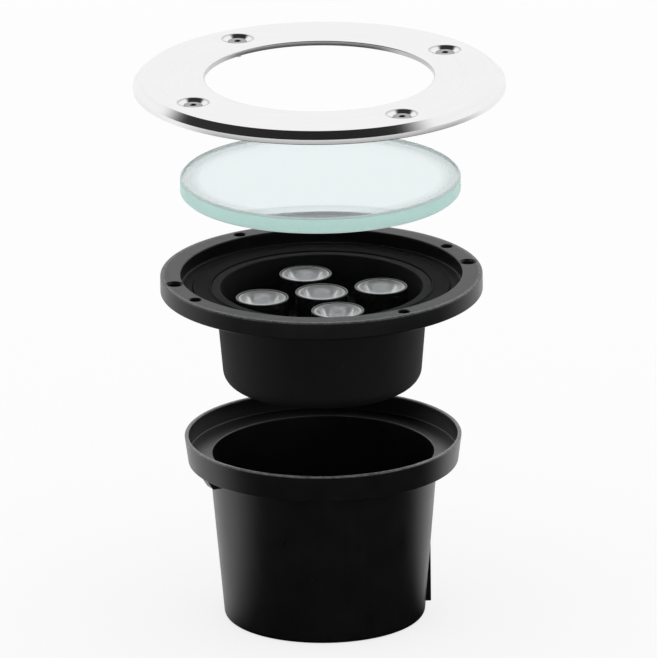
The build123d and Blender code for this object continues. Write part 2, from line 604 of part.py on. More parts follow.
def gland_body():
    """Hexagon collar with a threaded stub through the housing's floor and a barrel below."""
    bore = GLAND_BORE / 2
    barrel_foot = GLAND_TOP - GLAND_HEX_HEIGHT - GLAND_BARREL_LENGTH
    body = hexagon(GLAND_HEX, GLAND_TOP - GLAND_HEX_HEIGHT, GLAND_TOP)
    body += rod(GLAND_THREAD_DIAMETER / 2, GLAND_TOP, GLAND_TOP + GLAND_INNER_LENGTH)
    body += rod(GLAND_BARREL_DIAMETER / 2, barrel_foot, GLAND_TOP - GLAND_HEX_HEIGHT)
    body -= rod(bore, barrel_foot - CUT_PAST, GLAND_TOP + GLAND_INNER_LENGTH + CUT_PAST)
    seal_top = barrel_foot + GLAND_SEAL_LENGTH / 2
    return body - rod(GLAND_SEAL_DIAMETER / 2 + FIT_CLEARANCE, barrel_foot - CUT_PAST, seal_top)


def gland_seal():
    """Rubber sleeve that the nut presses round the cable."""
    barrel_foot = GLAND_TOP - GLAND_HEX_HEIGHT - GLAND_BARREL_LENGTH
    top = barrel_foot + GLAND_SEAL_LENGTH / 2
    sleeve = rod(GLAND_SEAL_DIAMETER / 2, gland_nut_foot() + GLAND_NUT_LIP, top)
    return sleeve - rod(GLAND_BORE / 2, gland_nut_foot(), top + CUT_PAST)


def gland_nut_foot():
    """Level of the gland nut's mouth."""
    return GLAND_TOP - GLAND_HEX_HEIGHT - FIT_CLEARANCE - GLAND_NUT_HEIGHT


def gland_nut():
    """Domed nut on the gland's barrel, round the cable's way out."""
    foot = gland_nut_foot()
    top = foot + GLAND_NUT_HEIGHT
    nut = hexagon(GLAND_NUT_HEX, foot, top)
    nut &= turned(
        (0, foot), (GLAND_NUT_HEX / 2 + GLAND_NUT_DOME, foot, GLAND_NUT_ROUND),
        (GLAND_NUT_HEX, foot + GLAND_NUT_HEX / 2), (GLAND_NUT_HEX, top), (0, top),
    )
    nut -= rod(GLAND_BARREL_DIAMETER / 2 + FIT_CLEARANCE, foot + GLAND_NUT_LIP, top + CUT_PAST)
    return nut - rod(GLAND_BORE / 2, foot - CUT_PAST, top)


def gland_lock_nut():
    """Thin hexagon nut on the gland's thread, inside the housing."""
    top = BODY_FLOOR_TOP + LOCK_NUT_HEIGHT
    return hexagon(LOCK_NUT_HEX, BODY_FLOOR_TOP, top) - gland_hole(BODY_FLOOR_TOP, top)


def gland_ring():
    """Flat sealing ring between the gland's hexagon and the housing."""
    return rod(GLAND_RING_DIAMETER / 2, GLAND_TOP, BODY_FOOT) - gland_hole(GLAND_TOP, BODY_FOOT)


def all_nodes():
    """Every piece by its name, at its place in the layout."""
    lamp = Pos(0, 0, FLANGE_TOP_Z)
    gland = lamp * Pos(0, GLAND_Y, 0)
    nodes = {
        "mounting_sleeve": mounting_sleeve(),
        "housing": lamp * housing(),
        "seat_gasket": lamp * seat_gasket(),
        "light_board": lamp * module_disc(PAD_TOP, BOARD_TOP),
        "thermal_pad": lamp * module_disc(PLATE_TOP, PAD_TOP),
        "heat_plate": lamp * module_disc(PLATE_FOOT, PLATE_TOP),
        "led_emitters": [lamp * emitter for emitter in led_emitters()],
        "lens_reflectors": [lamp * cup for cup in lens_reflectors()],
        "board_screws": [lamp * screw for screw in board_screws()],
        "driver_board": lamp * driver_board(),
        "driver_screws": [lamp * screw for screw in driver_screws()],
        "driver_inductor": lamp * driver_inductor(),
        "driver_capacitors": [lamp * can for can in driver_capacitors()],
        "terminal_block": lamp * terminal_block(),
        "led_leads": [lamp * lead for lead in led_leads()],
        "gland_body": gland * gland_body(),
        "gland_seal": gland * gland_seal(),
        "gland_nut": gland * gland_nut(),
        "gland_lock_nut": gland * gland_lock_nut(),
        "gland_ring": gland * gland_ring(),
        "glass_lens": Pos(0, 0, GLASS_Z) * glass_lens(),
        "trim_ring": Pos(0, 0, RING_Z) * trim_ring(),
        "ring_screws": [Pos(0, 0, RING_Z) * screw for screw in ring_screws()],
    }
    for name, place in lens_places().items():
        nodes[f"lens_holder_{name}"] = lamp * place * lens_holder()
        nodes[f"collimator_{name}"] = lamp * place * collimator_lens()
    return nodes


os.makedirs("parts", exist_ok=True)
for node, shape in all_nodes().items():
    solids = shape if isinstance(shape, list) else [shape]
    export_step(Compound(children=solids) if len(solids) > 1 else solids[0], f"parts/{node}.step")
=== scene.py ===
"""In-ground well light: the looks of its pieces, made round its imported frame."""
import json
import math
from contextlib import contextmanager

import bmesh
import bpy
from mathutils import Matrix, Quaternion, Vector


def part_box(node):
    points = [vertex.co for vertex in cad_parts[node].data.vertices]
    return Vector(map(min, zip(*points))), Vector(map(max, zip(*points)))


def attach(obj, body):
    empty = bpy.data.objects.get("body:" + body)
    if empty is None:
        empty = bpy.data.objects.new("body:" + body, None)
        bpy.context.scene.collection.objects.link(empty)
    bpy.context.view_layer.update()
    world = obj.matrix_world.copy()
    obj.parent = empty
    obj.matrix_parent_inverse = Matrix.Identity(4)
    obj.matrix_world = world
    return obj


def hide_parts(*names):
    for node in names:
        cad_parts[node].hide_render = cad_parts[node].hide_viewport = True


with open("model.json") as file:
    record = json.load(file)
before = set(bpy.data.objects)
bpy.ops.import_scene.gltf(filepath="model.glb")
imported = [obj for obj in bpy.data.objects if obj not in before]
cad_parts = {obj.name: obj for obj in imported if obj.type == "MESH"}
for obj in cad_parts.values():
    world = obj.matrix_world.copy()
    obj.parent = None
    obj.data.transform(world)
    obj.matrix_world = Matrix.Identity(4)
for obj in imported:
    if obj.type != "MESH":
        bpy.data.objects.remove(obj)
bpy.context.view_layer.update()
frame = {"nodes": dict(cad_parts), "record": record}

bl_info = {
    "name": "Well light",
    "version": (1, 0, 0),
    "blender": (4, 5, 0),
    "location": "View3D > Sidebar > Well light",
    "description": "Dresses an in-ground well light: turned steel, thick glass, cast and moulded black",
    "category": "Object",
}

MM = 0.001
CUT_PAST = 1 * MM              # how far a cutter runs past the face that it opens
SINK_IN = 0.5 * MM             # how far a boss starts inside the floor that it stands on
OVERLAP = 1 * MM               # how far the gland's stub and barrel run into its hexagon
SMALL_ROUND = 0.3 * MM         # of a small edge
FINE_ROUND = 0.15 * MM         # of a finer one
LARGE_ROUND = 2 * MM           # a larger round than this is given more steps
SIDES = 192                    # of a large turned piece
SMALL_SIDES = 64               # of a small one
SMOOTH_ANGLE = math.radians(32)
GLASS_SMOOTH_ANGLE = math.radians(20)      # keeps the glass's chamfers flat
LENS_SMOOTH_ANGLE = math.radians(40)       # smooths a lens's crown and dome
IMAGE_WIDTH, IMAGE_HEIGHT = 657, 658
SENSOR = 36.0                  # mm, the long side's
LENSES = ("centre", "right", "back", "left", "front")


# ---------------------------------------------------------------- sizes

def length(name, description, default):
    """A length that a user may change, its default given in millimetres."""
    return bpy.props.FloatProperty(
        name=name, description=description, default=default * MM, unit="LENGTH")


def angle(name, description, default):
    """An angle, given in degrees."""
    return bpy.props.FloatProperty(
        name=name, description=description, default=math.radians(default), subtype="ANGLE")


def count(name, description, default):
    """A number of like pieces."""
    return bpy.props.IntProperty(name=name, description=description, default=default, min=1)


class RingSizes(bpy.types.PropertyGroup):
    """The trim ring and its screws."""
    opening: length("Opening", "Diameter of the ring's opening", 92.5)
    plate: length("Plate", "Thickness of the ring's plate", 2.0)
    rim_wall: length("Rim wall", "Thickness of the turned-down rim", 2.2)
    bevel_width: length("Bevel width", "Width of the outer bevel, seen from above", 3.0)
    bevel_drop: length("Bevel drop", "Height of the outer bevel", 2.8)
    edge_round: length("Edge round", "Round on the ring's edges", 0.3)
    screw_circle: length("Screw circle", "Diameter of the circle that the screws are on", 121.0)
    screw_azimuth: angle("Screw azimuth", "Direction of the first screw", 33)
    screw_count: count("Screws", "Number of ring screws", 4)
    dish: length("Dish", "Diameter of the pressed dish round a screw", 12.8)
    dish_depth: length("Dish depth", "Depth of the pressed dish", 1.2)
    dimple_wall: length("Dimple wall", "How far a dish's back stands wider than the dish", 0.9)
    dimple_drop: length("Dimple drop", "How far a dish's back stands below the plate", 1.4)
    head: length("Screw head", "Diameter of a screw's head", 7.6)
    head_rim: length("Head rim", "Height of a head's upright edge", 0.35)
    shank: length("Screw shank", "Diameter of a screw's thread", 4.0)
    thread_pitch: length("Thread pitch", "Pitch of a screw's thread", 0.7)
    thread_depth: length("Thread depth", "Depth of a screw's thread", 0.3)
    socket: length("Socket", "Hexagon socket across its flats", 2.5)
    socket_depth: length("Socket depth", "Depth of the hexagon socket", 1.5)
    clearance: length("Clearance", "Room round a screw", 0.3)


class GlassSizes(bpy.types.PropertyGroup):
    """The glass and its gasket."""
    chamfer: length("Chamfer", "Ground chamfer on the glass's edges", 0.8)
    arris: length("Arris", "Small round where the chamfer meets a face", 0.15)
    gasket_width: length("Gasket width", "Width of the gasket", 7.5)
    gasket_lip: length("Gasket lip", "Width of each sealing lip on the gasket's top", 0.9)
    gasket_dip: length("Gasket dip", "Depth of the channel between the lips", 0.35)


class HousingSizes(bpy.types.PropertyGroup):
    """The cast housing."""
    flange: length("Flange thickness", "Thickness of the flange", 7.2)
    flange_round: length("Flange round", "Round on the flange's edges", 0.6)
    edge_round: length("Edge round", "Round on the recess's edges", 0.5)
    step_radius: length("Step radius", "Radius of the seat step under the flange", 53.95)
    step_depth: length("Step depth", "Depth of the seat step", 4.0)
    step_round: length("Step round", "Round on the seat step's edges", 0.7)
    body: length("Body", "Diameter of the body at the flange's underside", 86.0)
    wall: length("Wall", "Thickness of the body's wall", 2.3)
    floor: length("Floor", "Thickness of the body's floor", 3.0)
    foot_round: length("Foot round", "Round at the body's foot", 6.5)
    recess: length("Recess depth", "Depth of the glass recess", 5.6)
    recess_gap: length("Recess gap", "Room round the glass", 0.3)
    groove: length("Groove depth", "Depth of the gasket groove", 1.4)
    groove_gap: length("Groove gap", "Room at each side of the gasket", 0.1)
    draft: angle("Draft", "Draft of the cast and moulded walls", 4.95)
    screw_hole: length("Screw hole", "Diameter of the ring screws' holes", 4.6)
    fixing_hole: length("Fixing hole", "Diameter of the two fixing holes", 5.5)
    fixing_sink: length("Fixing countersink", "Diameter of the fixing holes' countersinks", 7.2)
    fixing_azimuth: angle("Fixing azimuth", "Direction of the first fixing hole", 12)
    hole_chamfer: length("Hole chamfer", "Chamfer at the screw holes", 0.4)
    boss_circle: length("Boss circle", "Diameter of the circle that the bosses are on", 64.0)
    boss_count: count("Bosses", "Number of bosses", 4)
    boss: length("Boss", "Diameter of a boss", 8.0)
    boss_azimuth: angle("Boss azimuth", "Direction of the first boss", 60)
    boss_hole: length("Boss hole", "Diameter of a boss's screw hole", 3.2)
    boss_hole_floor: length("Boss hole floor", "Height of a boss's screw hole above the floor", 2.0)
    web: length("Web", "Thickness of the rib behind a boss", 2.0)
    standoff: length("Standoff", "Diameter of a standoff under the driver board", 6.0)
    standoff_inset: length("Standoff inset", "From the driver board's edges to a standoff's middle", 3.2)
    pilot: length("Pilot hole", "Diameter of a standoff's screw hole", 2.7)
    gland_hole: length("Gland hole", "Diameter of the gland's hole in the floor", 12.2)
    gap: length("Gap", "Room between pieces that stay together", 0.1)


class SleeveSizes(bpy.types.PropertyGroup):
    """The sleeve that stays in the ground."""
    foot: length("Foot", "Diameter at the foot", 80.8)
    foot_round: length("Foot round", "Round at the foot", 2.4)
    wall: length("Wall", "Thickness of the wall", 1.7)
    floor: length("Floor", "Thickness of the floor", 2.4)
    opening: length("Floor opening", "Diameter of the drain and cable way", 56.0)
    rim: length("Rim", "Diameter of the rim's top", 112.0)
    rim_height: length("Rim height", "Height of the rim outside", 11.0)
    rim_draft: angle("Rim draft", "Draft of the rim's outside", 7.8)
    lip: length("Lip", "Width of the rim's top face", 1.75)
    recess: length("Recess depth", "Depth of the rim's recess", 7.6)
    edge_round: length("Edge round", "Round on the moulded edges", 0.5)
    floor_round: length("Floor round", "Round inside where the wall meets the floor", 1.5)
    lug_reach: length("Lug reach", "Radius of a lug's outer face", 53.4)
    lug_slant: length("Lug slant", "How far a lug's outer face leans in at its foot", 3.0)
    lug_root: length("Lug root", "How far a lug runs up into the rim", 1.0)
    lug_width: length("Lug width", "Width of a lug", 6.0)
    lug_drop: length("Lug drop", "How far a lug hangs below the rim", 4.7)
    lug_azimuth: angle("Lug azimuth", "Direction of the first lug", 205)
    key_reach: length("Key reach", "Radius of the key rib's upright face", 42.9)
    key_width: length("Key width", "Width of the key rib", 6.0)
    key_foot: length("Key foot", "Height of the key rib's lower end", 4.4)
    key_azimuth: angle("Key azimuth", "Direction of the key rib", 4)


class ModuleSizes(bpy.types.PropertyGroup):
    """The lens holders, the reflectors, the lenses and the light board."""
    wall: length("Holder wall", "Thickness of a lens holder's wall", 0.9)
    base: length("Holder base", "Thickness of a lens holder's base", 1.2)
    gap: length("Gap", "Room between pieces that stay together", 0.1)
    clip_width: length("Clip width", "Width of the clips at a holder's rim", 2.4)
    clip_height: length("Clip height", "Height of a clip", 1.6)
    clip_proud: length("Clip reach", "How far a clip stands out from the holder", 0.8)
    clip_azimuth: angle("Clip azimuth", "Direction of a holder's first clip", 302)
    clip_count: count("Clips", "Number of clips on a holder", 2)
    sunk: length("Lens sunk", "How far a lens's edge lies below its holder's rim", 0.3)
    lens_rim: length("Lens rim", "Height of a lens's rim", 1.2)
    lens_border: length("Lens border", "Width of the flat border round a lens's crown", 0.4)
    lens_neck: length("Lens neck", "Diameter of a lens's narrow end", 8.0)
    lens_pocket: length("Lens pocket", "Diameter of the pocket over the emitter", 5.6)
    pocket_depth: length("Pocket depth", "Depth of that pocket", 4.2)
    reflector_wall: length("Reflector wall", "Thickness of a reflector cup", 0.5)


class GlandSizes(bpy.types.PropertyGroup):
    """The cable gland."""
    hexagon: length("Hexagon", "Body's hexagon across its flats", 16.0)
    hexagon_height: length("Hexagon height", "Height of the body's hexagon", 4.0)
    nut: length("Nut", "Nut's hexagon across its flats", 15.0)
    nut_dome: length("Nut dome", "How far the nut's domed end stands out past its flats", 0.4)
    nut_round: length("Nut round", "Round at the nut's mouth", 2.0)
    nut_lip: length("Nut lip", "Thickness of the nut's closed end", 2.4)
    thread: length("Thread", "Diameter of the threaded stub", 12.0)
    thread_pitch: length("Thread pitch", "Pitch of the stub's thread", 1.5)
    thread_depth: length("Thread depth", "Depth of the stub's thread", 0.5)
    barrel: length("Barrel", "Diameter of the barrel in the nut", 11.2)
    seal: length("Seal", "Diameter of the rubber seal", 9.4)
    bore: length("Bore", "Diameter of the cable's way", 7.0)
    gap: length("Gap", "Room between pieces that stay together", 0.1)


class StageSettings(bpy.types.PropertyGroup):
    """The camera and the studio."""
    scale: bpy.props.FloatProperty(
        name="Scale", description="Pixels of the image for each millimetre at the axis", default=2.48)
    axis_x: bpy.props.FloatProperty(
        name="Axis", description="Pixel column of the light's axis", default=322.0)
    foot_y: bpy.props.FloatProperty(
        name="Foot", description="Pixel row of the centre of the sleeve's foot", default=613.0)
    elevation: angle("Elevation", "Camera's angle above the horizon", 18.3)
    roll: angle("Roll", "Lean of the light's axis to the left in the picture", 0.6)
    lens: bpy.props.FloatProperty(name="Lens", description="Focal length in millimetres", default=1500.0)
    floor_size: length("Floor", "Width of the pale floor", 40000)


# ---------------------------------------------------------------- shader expressions

def add_node(tree, kind, values=None, settings=None, output=0):
    """One node: its type, the values or links of its sockets, and its settings."""
    node = tree.nodes.new("ShaderNode" + kind)
    for name, setting in (settings or {}).items():
        setattr(node, name, setting)
    for name, value in (values or {}).items():
        socket = node.inputs[name]
        if isinstance(value, Value):
            tree.links.new(value.socket, socket)
        elif socket.type == "RGBA" and len(value) == 3:
            socket.default_value = (*value, 1.0)
        else:
            socket.default_value = value
    return Value(tree, node, output)


class Value:
    """A socket that takes part in Python expressions: each operator adds its Math node."""

    def __init__(self, tree, node, output=0):
        self.tree, self.node, self.socket = tree, node, node.outputs[output]

    def output(self, name):
        return Value(self.tree, self.node, name)

    def maths(self, operation, *values):
        return add_node(self.tree, "Math", dict(enumerate(values)), {"operation": operation})

    def __add__(self, other):
        return self.maths("ADD", self, other)

    def __sub__(self, other):
        return self.maths("SUBTRACT", self, other)

    def __rsub__(self, other):
        return self.maths("SUBTRACT", other, self)

    def __mul__(self, other):
        return self.maths("MULTIPLY", self, other)

    def __truediv__(self, other):
        return self.maths("DIVIDE", self, other)

    def __rtruediv__(self, other):
        return self.maths("DIVIDE", other, self)

    def __pow__(self, other):
        return self.maths("POWER", self, other)

    def __abs__(self):
        return self.maths("ABSOLUTE", self)

    __radd__ = __add__
    __rmul__ = __mul__

    def high(self, other):
        return self.maths("MAXIMUM", self, other)

    def low(self, other):
        return self.maths("MINIMUM", self, other)

    def step(self, start, stop):
        """Rises smoothly from 0 at start to 1 at stop."""
        return add_node(self.tree, "MapRange", {0: self, 1: start, 2: stop, 3: 0.0, 4: 1.0},
                        {"interpolation_type": "SMOOTHSTEP"})

    def between(self, low, high):
        """Stretches a value of 0 to 1 over another range."""
        return self * (high - low) + low


class Finish:
    """A material under construction, with the patterns that several finishes share."""

    def __init__(self, name):
        self.material = bpy.data.materials.get(name) or bpy.data.materials.new(name)
        self.material.use_nodes = True
        self.tree = self.material.node_tree
        self.tree.nodes.clear()
        self.place = self.add("TexCoord").output("Object")

    def add(self, kind, values=None, settings=None, output=0):
        return add_node(self.tree, kind, values, settings, output)

    def mix(self, share, first, second):
        """A colour between two colours."""
        return self.add("Mix", {0: share, 6: first, 7: second}, {"data_type": "RGBA"}, output=2)

    def noise(self, scale, detail=2.0, roughness=0.5, stretch=(1, 1, 1), place=None):
        """Cloudy pattern of 0 to 1; scale is in features per metre."""
        place = place or self.place
        if stretch != (1, 1, 1):
            place = self.add("VectorMath", {0: place, 1: stretch}, {"operation": "MULTIPLY"})
        return self.add("TexNoise", {
            "Vector": place, "Scale": scale, "Detail": detail, "Roughness": roughness})

    def axes(self):
        """The place's three coordinates."""
        split = self.add("SeparateXYZ", {0: self.place})
        return split, split.output("Y"), split.output("Z")

    def turning(self):
        """Distance from the axis, direction round it from 0 to 1, and height."""
        x, y, height = self.axes()
        return (x * x + y * y) ** 0.5, x.maths("ARCTAN2", y, x) * (0.5 / math.pi) + 0.5, height

    def bump(self, height, strength, distance):
        return self.add("Bump", {"Height": height, "Strength": strength, "Distance": distance})

    def surface(self, **sockets):
        """Closes the material with its shader; socket names have _ for a space."""
        values = {name.replace("_", " "): value for name, value in sockets.items()}
        shader = self.add("BsdfPrincipled", values)
        self.add_output(shader)
        return self.material

    def add_output(self, shader):
        out = self.tree.nodes.new("ShaderNodeOutputMaterial")
        self.tree.links.new(shader.socket, out.inputs["Surface"])


# ---------------------------------------------------------------- finishes

def turned_steel(name, tone, roughness, pull, dishes=None):
    """Stainless steel with fine turned lines, faint smears and a soft wandering sheen.

    Dishes are the sizes of a ring: round its pressed dishes and opening a darker line is painted, as
    painted shade on their bends.
    """
    finish = Finish(name)
    radius, direction, height = finish.turning()

    def turned_noise(scale, turns, detail, coarseness):
        place = finish.add("CombineXYZ", {0: radius * scale, 1: direction * turns, 2: height * scale})
        return finish.noise(1.0, detail, coarseness, place=place)

    lines, broad = turned_noise(5200, 5.0, 3.0, 0.65), turned_noise(900, 14.0, 2.0, 0.5)
    smear = finish.noise(42, 4.0, 0.6, stretch=(1, 1.8, 1))
    shade = (lines.between(0.94, 1.05) * broad.between(0.96, 1.03)).low(1.0)
    base = finish.mix(shade * smear.between(0.97, 1.01), (0.0, 0.0, 0.0), tone)
    if dishes is not None:
        # painted shade: a darker grey line round each pressed dish and round the opening, on their bent
        # edges
        number, reach = dishes.screw_count, dishes.dish / 2
        turn = (direction - (dishes.screw_azimuth / math.tau + 0.5)) * number + 0.5
        across = (turn.maths("FRACT", turn) - 0.5) * radius * (math.tau / number)
        along = radius - dishes.screw_circle / 2
        away = (across * across + along * along) ** 0.5
        line = away.step(reach - 1.0 * MM, reach - 0.1 * MM) * (1.0 - away.step(reach, reach + 0.5 * MM))
        opening = dishes.opening / 2
        line = line.high(1.0 - radius.step(opening + 0.1 * MM, opening + 0.5 * MM))
        base = finish.mix(line * smear.between(0.35, 0.65), base, (0.2, 0.2, 0.2))
    rough = (smear.between(-0.05, 0.06) + lines.between(-0.03, 0.04) + roughness).high(0.05)
    return finish.surface(
        Base_Color=base, Metallic=1.0, Roughness=rough, Anisotropic=pull,
        Normal=finish.bump(lines + broad, 0.12, 0.02 * MM))


def black_coat(name, tone, roughness, grain, specular=0.5, rim=None, inside=None, wear_and_highlight=0.6):
    """Black powder coat or moulded plastic: fine grain, soft mottling, dust, and a paler band along the
    rim, partly rubbed wear and partly a painted highlight.

    The rim is a corner of the piece's box; within the inside radius the coat is duller.
    """
    finish = Finish(name)
    radius, _, height = finish.turning()
    fine = finish.noise(grain, 2.0, 0.6)
    mottle = finish.noise(90, 4.0, 0.6)
    streak = finish.noise(260, 3.0, 0.5, stretch=(1, 1, 0.08))
    dust = finish.noise(520, 5.0, 0.75).step(0.62, 0.8)
    pale = tuple(channel * 3.2 + 0.006 for channel in tone)
    base = finish.mix(mottle.between(0.0, 0.35) + streak.between(0.0, 0.12), tone, pale)
    base = finish.mix(dust * 0.18, base, (0.16, 0.16, 0.16))
    rough = roughness + mottle.between(-0.06, 0.07) + dust * 0.15 + streak.between(-0.03, 0.03)
    if rim is not None:
        # paler band along the top rim: a painted highlight on the rim's edge, broken up by noise like
        # rubbed wear
        edge = height.step(rim.z - 0.9 * MM, rim.z) * radius.step(rim.x - 2.2 * MM, rim.x - 1.2 * MM)
        rim_wear_and_highlight = edge * finish.noise(700, 4.0, 0.7).step(0.25, 0.6)
        base = finish.mix(rim_wear_and_highlight * wear_and_highlight, base, (0.15, 0.15, 0.155))
        rough = rough - rim_wear_and_highlight * 0.1
    if inside is not None:
        rough = rough + (1.0 - radius.step(inside - MM, inside)) * 0.4
    return finish.surface(
        Base_Color=base, Roughness=rough, Specular_IOR_Level=specular,
        Normal=finish.bump(fine + mottle * 0.3, 0.22, 0.05 * MM))


def toughened_glass(edge_radius, low, high):
    """Clear glass with polished faces, a ground, green edge, and faint dust."""
    finish = Finish("toughened_glass")
    radius, _, height = finish.turning()
    depth = edge_radius - radius
    face = abs(height - (low + high) / 2) / ((high - low) / 2)
    edge = 1.0 - depth.step(0.1 * MM, 0.4 * MM)
    chamfer = (1.0 - depth.step(0.75 * MM, 0.9 * MM)) * face.step(0.7, 0.8)
    border = 1.0 - depth.step(2.0 * MM, 10.0 * MM)
    dust = finish.noise(900, 4.0, 0.7).step(0.66, 0.82)
    smear = finish.noise(60, 3.0, 0.6)
    speckle = finish.noise(2400, 3.0, 0.6)
    clear = finish.add("BsdfPrincipled", {
        "Base Color": finish.mix(smear, (0.83, 0.912, 0.918), (0.85, 0.925, 0.93)),
        "Roughness": dust * 0.05 + smear.between(0.0, 0.02), "IOR": 1.51, "Transmission Weight": 1.0,
        "Normal": finish.bump(smear, 0.02, 0.1 * MM)})
    ground = finish.add("BsdfPrincipled", {
        "Base Color": finish.mix(edge, (0.88, 0.975, 0.96), (0.60, 0.90, 0.83)),
        "Roughness": speckle.between(0.35, 0.6), "IOR": 1.51, "Transmission Weight": 0.25,
        "Normal": finish.bump(speckle, 0.2, 0.03 * MM)})
    share = (edge * speckle.between(0.75, 0.95)).high(chamfer * 0.9).high(border * 0.28)
    share = share.high(dust * 0.06 + 0.03)
    finish.add_output(finish.add("MixShader", {0: share, 1: clear, 2: ground}))
    return finish.material


def lens_clear(rim_height):
    """Moulded lens: a finely frosted face, and a pale matt rim round it, a painted highlight for the
    bright ring of the lens.
    """
    finish = Finish("lens_clear")
    _, _, height = finish.axes()
    ripple = finish.noise(900, 1.0, 0.5)
    face = height.step(rim_height, rim_height + 0.15 * MM)
    clear = finish.add("BsdfPrincipled", {
        "Base Color": finish.mix(ripple, (0.90, 0.91, 0.92), (0.97, 0.97, 0.97)),
        "Roughness": face * 0.3 + ripple.between(0.02, 0.05), "IOR": 1.49, "Transmission Weight": 1.0,
        "Normal": finish.bump(ripple, 0.15, 0.1 * MM)})
    ground = finish.add("BsdfPrincipled", {
        "Base Color": finish.mix(ripple, (0.8, 0.81, 0.82), (0.9, 0.9, 0.9)), "Roughness": 0.4})
    # painted highlight: a pale, matt ring at the lens's rim stands in for the bright ring of light in
    # the lens
    rim = 1.0 - height.step(rim_height + 0.12 * MM, rim_height + 0.4 * MM)
    rim = rim * height.step(rim_height - 0.3 * MM, rim_height - 0.2 * MM)
    finish.add_output(finish.add("MixShader", {0: rim * 0.7, 1: clear, 2: ground}))
    return finish.material


def reflector_silver():
    """Silvered reflector: bright, with faint streaks down its sides."""
    finish = Finish("reflector_silver")
    mottle = finish.noise(700, 3.0, 0.6)
    return finish.surface(
        Base_Color=finish.mix(mottle, (0.62, 0.63, 0.64), (0.8, 0.8, 0.81)), Metallic=1.0,
        Roughness=mottle.between(0.16, 0.3), Normal=finish.bump(mottle, 0.2, 0.05 * MM))


def plain(name, tone, roughness, grain=1500.0, metallic=0.0, variety=0.12, strength=0.12, specular=0.5):
    """A small part's finish: an even colour with grain, mottling and uneven gloss."""
    finish = Finish(name)
    fine = finish.noise(grain, 2.0, 0.6)
    mottle = finish.noise(220, 4.0, 0.6)
    dark = tuple(channel * (1 - variety) for channel in tone)
    light = tuple(min(1.0, channel * (1 + variety)) for channel in tone)
    return finish.surface(
        Base_Color=finish.mix(mottle * 0.7 + fine * 0.3, dark, light), Metallic=metallic,
        Specular_IOR_Level=specular, Roughness=mottle.between(roughness - 0.06, roughness + 0.08),
        Normal=finish.bump(fine, strength, 0.04 * MM))


def board_mask(name, tone, copper_share):
    """Circuit board: solder mask with faint tracks under it."""
    finish = Finish(name)
    cell = finish.add("TexVoronoi", {"Vector": finish.place, "Scale": 260.0, "Randomness": 0.9},
                      {"distance": "CHEBYCHEV", "feature": "F1"})
    tracks = cell.step(0.42, 0.46)
    fine = finish.noise(1800, 2.0, 0.6)
    pale = tuple(min(1.0, channel * 1.9 + 0.01) for channel in tone)
    return finish.surface(
        Base_Color=finish.mix(tracks * copper_share, tone, pale), Roughness=fine.between(0.3, 0.42),
        Normal=finish.bump(tracks + fine * 0.2, 0.15, 0.05 * MM))


# ---------------------------------------------------------------- modelling by hand

@contextmanager
def editing(piece, mode="EDGE"):
    """Edit mode on one piece, with nothing selected at first."""
    choose(piece)
    bpy.ops.object.mode_set(mode="EDIT")
    bpy.ops.mesh.select_mode(type=mode)
    bpy.ops.mesh.select_all(action="DESELECT")
    yield bmesh.from_edit_mesh(piece.data)
    bpy.ops.object.mode_set(mode="OBJECT")


def choose(piece, *others):
    """Selects pieces and nothing else; the first is the active one."""
    bpy.ops.object.select_all(action="DESELECT")
    for each in (piece, *others):
        each.select_set(True)
    bpy.context.view_layer.objects.active = piece


def arc(radius, height, bend, start, stop, steps=4):
    """Points of a round stretch of an outline: its centre, its radius and its two angles in degrees."""
    ways = [math.radians(start + (stop - start) * step / steps) for step in range(steps + 1)]
    return [(radius + bend * math.cos(way), height + bend * math.sin(way)) for way in ways]


def corner_offset(before, corner, after):
    """How far along its sides a corner's round starts."""
    sides = [(Vector(corner[:2]) - Vector(before[:2])), (Vector(after[:2]) - Vector(corner[:2]))]
    return corner[2] * math.tan(sides[0].angle(sides[1]) / 2)


def turned(name, outline, centre=(0.0, 0.0), sides=SIDES):
    """A piece turned about an upright axis: a ring drawn up, in and out through the outline's points.

    A point is (radius, height) or (radius, height, round). The outline closes on itself, or starts and
    ends on the axis.
    """
    corners = [(*point, 0.0)[:3] for point in outline]
    solid = corners[0][0] == 0
    rings = corners[1:-1] if solid else corners
    radius, height, _ = rings[0]
    bpy.ops.object.select_all(action="DESELECT")
    bpy.ops.mesh.primitive_circle_add(
        vertices=sides, radius=radius, location=(*centre, height),
        fill_type="NGON" if solid else "NOTHING")
    piece = bpy.context.object
    piece.name = piece.data.name = name
    bpy.ops.object.transform_apply(location=True, rotation=False, scale=False)
    with editing(piece):
        bpy.ops.mesh.select_all(action="SELECT")
        for next_radius, next_height, _ in rings[1:]:
            rise = (0, 0, next_height - height)
            bpy.ops.mesh.extrude_edges_move(TRANSFORM_OT_translate={"value": rise})
            share = next_radius / radius
            bpy.ops.transform.resize(value=(share, share, 1), center_override=(*centre, 0))
            radius, height = next_radius, next_height
        if solid:
            bpy.ops.mesh.edge_face_add()
        else:
            bpy.ops.mesh.select_all(action="DESELECT")
            bpy.ops.mesh.select_non_manifold()
            bpy.ops.mesh.bridge_edge_loops()
        for index, corner in enumerate(corners):
            if corner[2] > 0:
                width = corner_offset(corners[index - 1], corner, corners[(index + 1) % len(corners)])
                steps = 8 if corner[2] > LARGE_ROUND else 4
                select_ring(piece, centre, corner)
                bpy.ops.mesh.bevel(offset=width, segments=steps, clamp_overlap=False)
        bpy.ops.mesh.select_all(action="SELECT")
        bpy.ops.mesh.normals_make_consistent(inside=False)
    return piece


def small(name, outline, place=(0.0, 0.0)):
    """A small turned piece at a place (x, y)."""
    return turned(name, outline, place, SMALL_SIDES)


def rod(name, width, low, high, place, foot_round=0.0, top_round=0.0):
    """A small round bar, by its diameter and its two levels."""
    return small(name, [
        (0, low), (width / 2, low, foot_round), (width / 2, high, top_round), (0, high)], place)


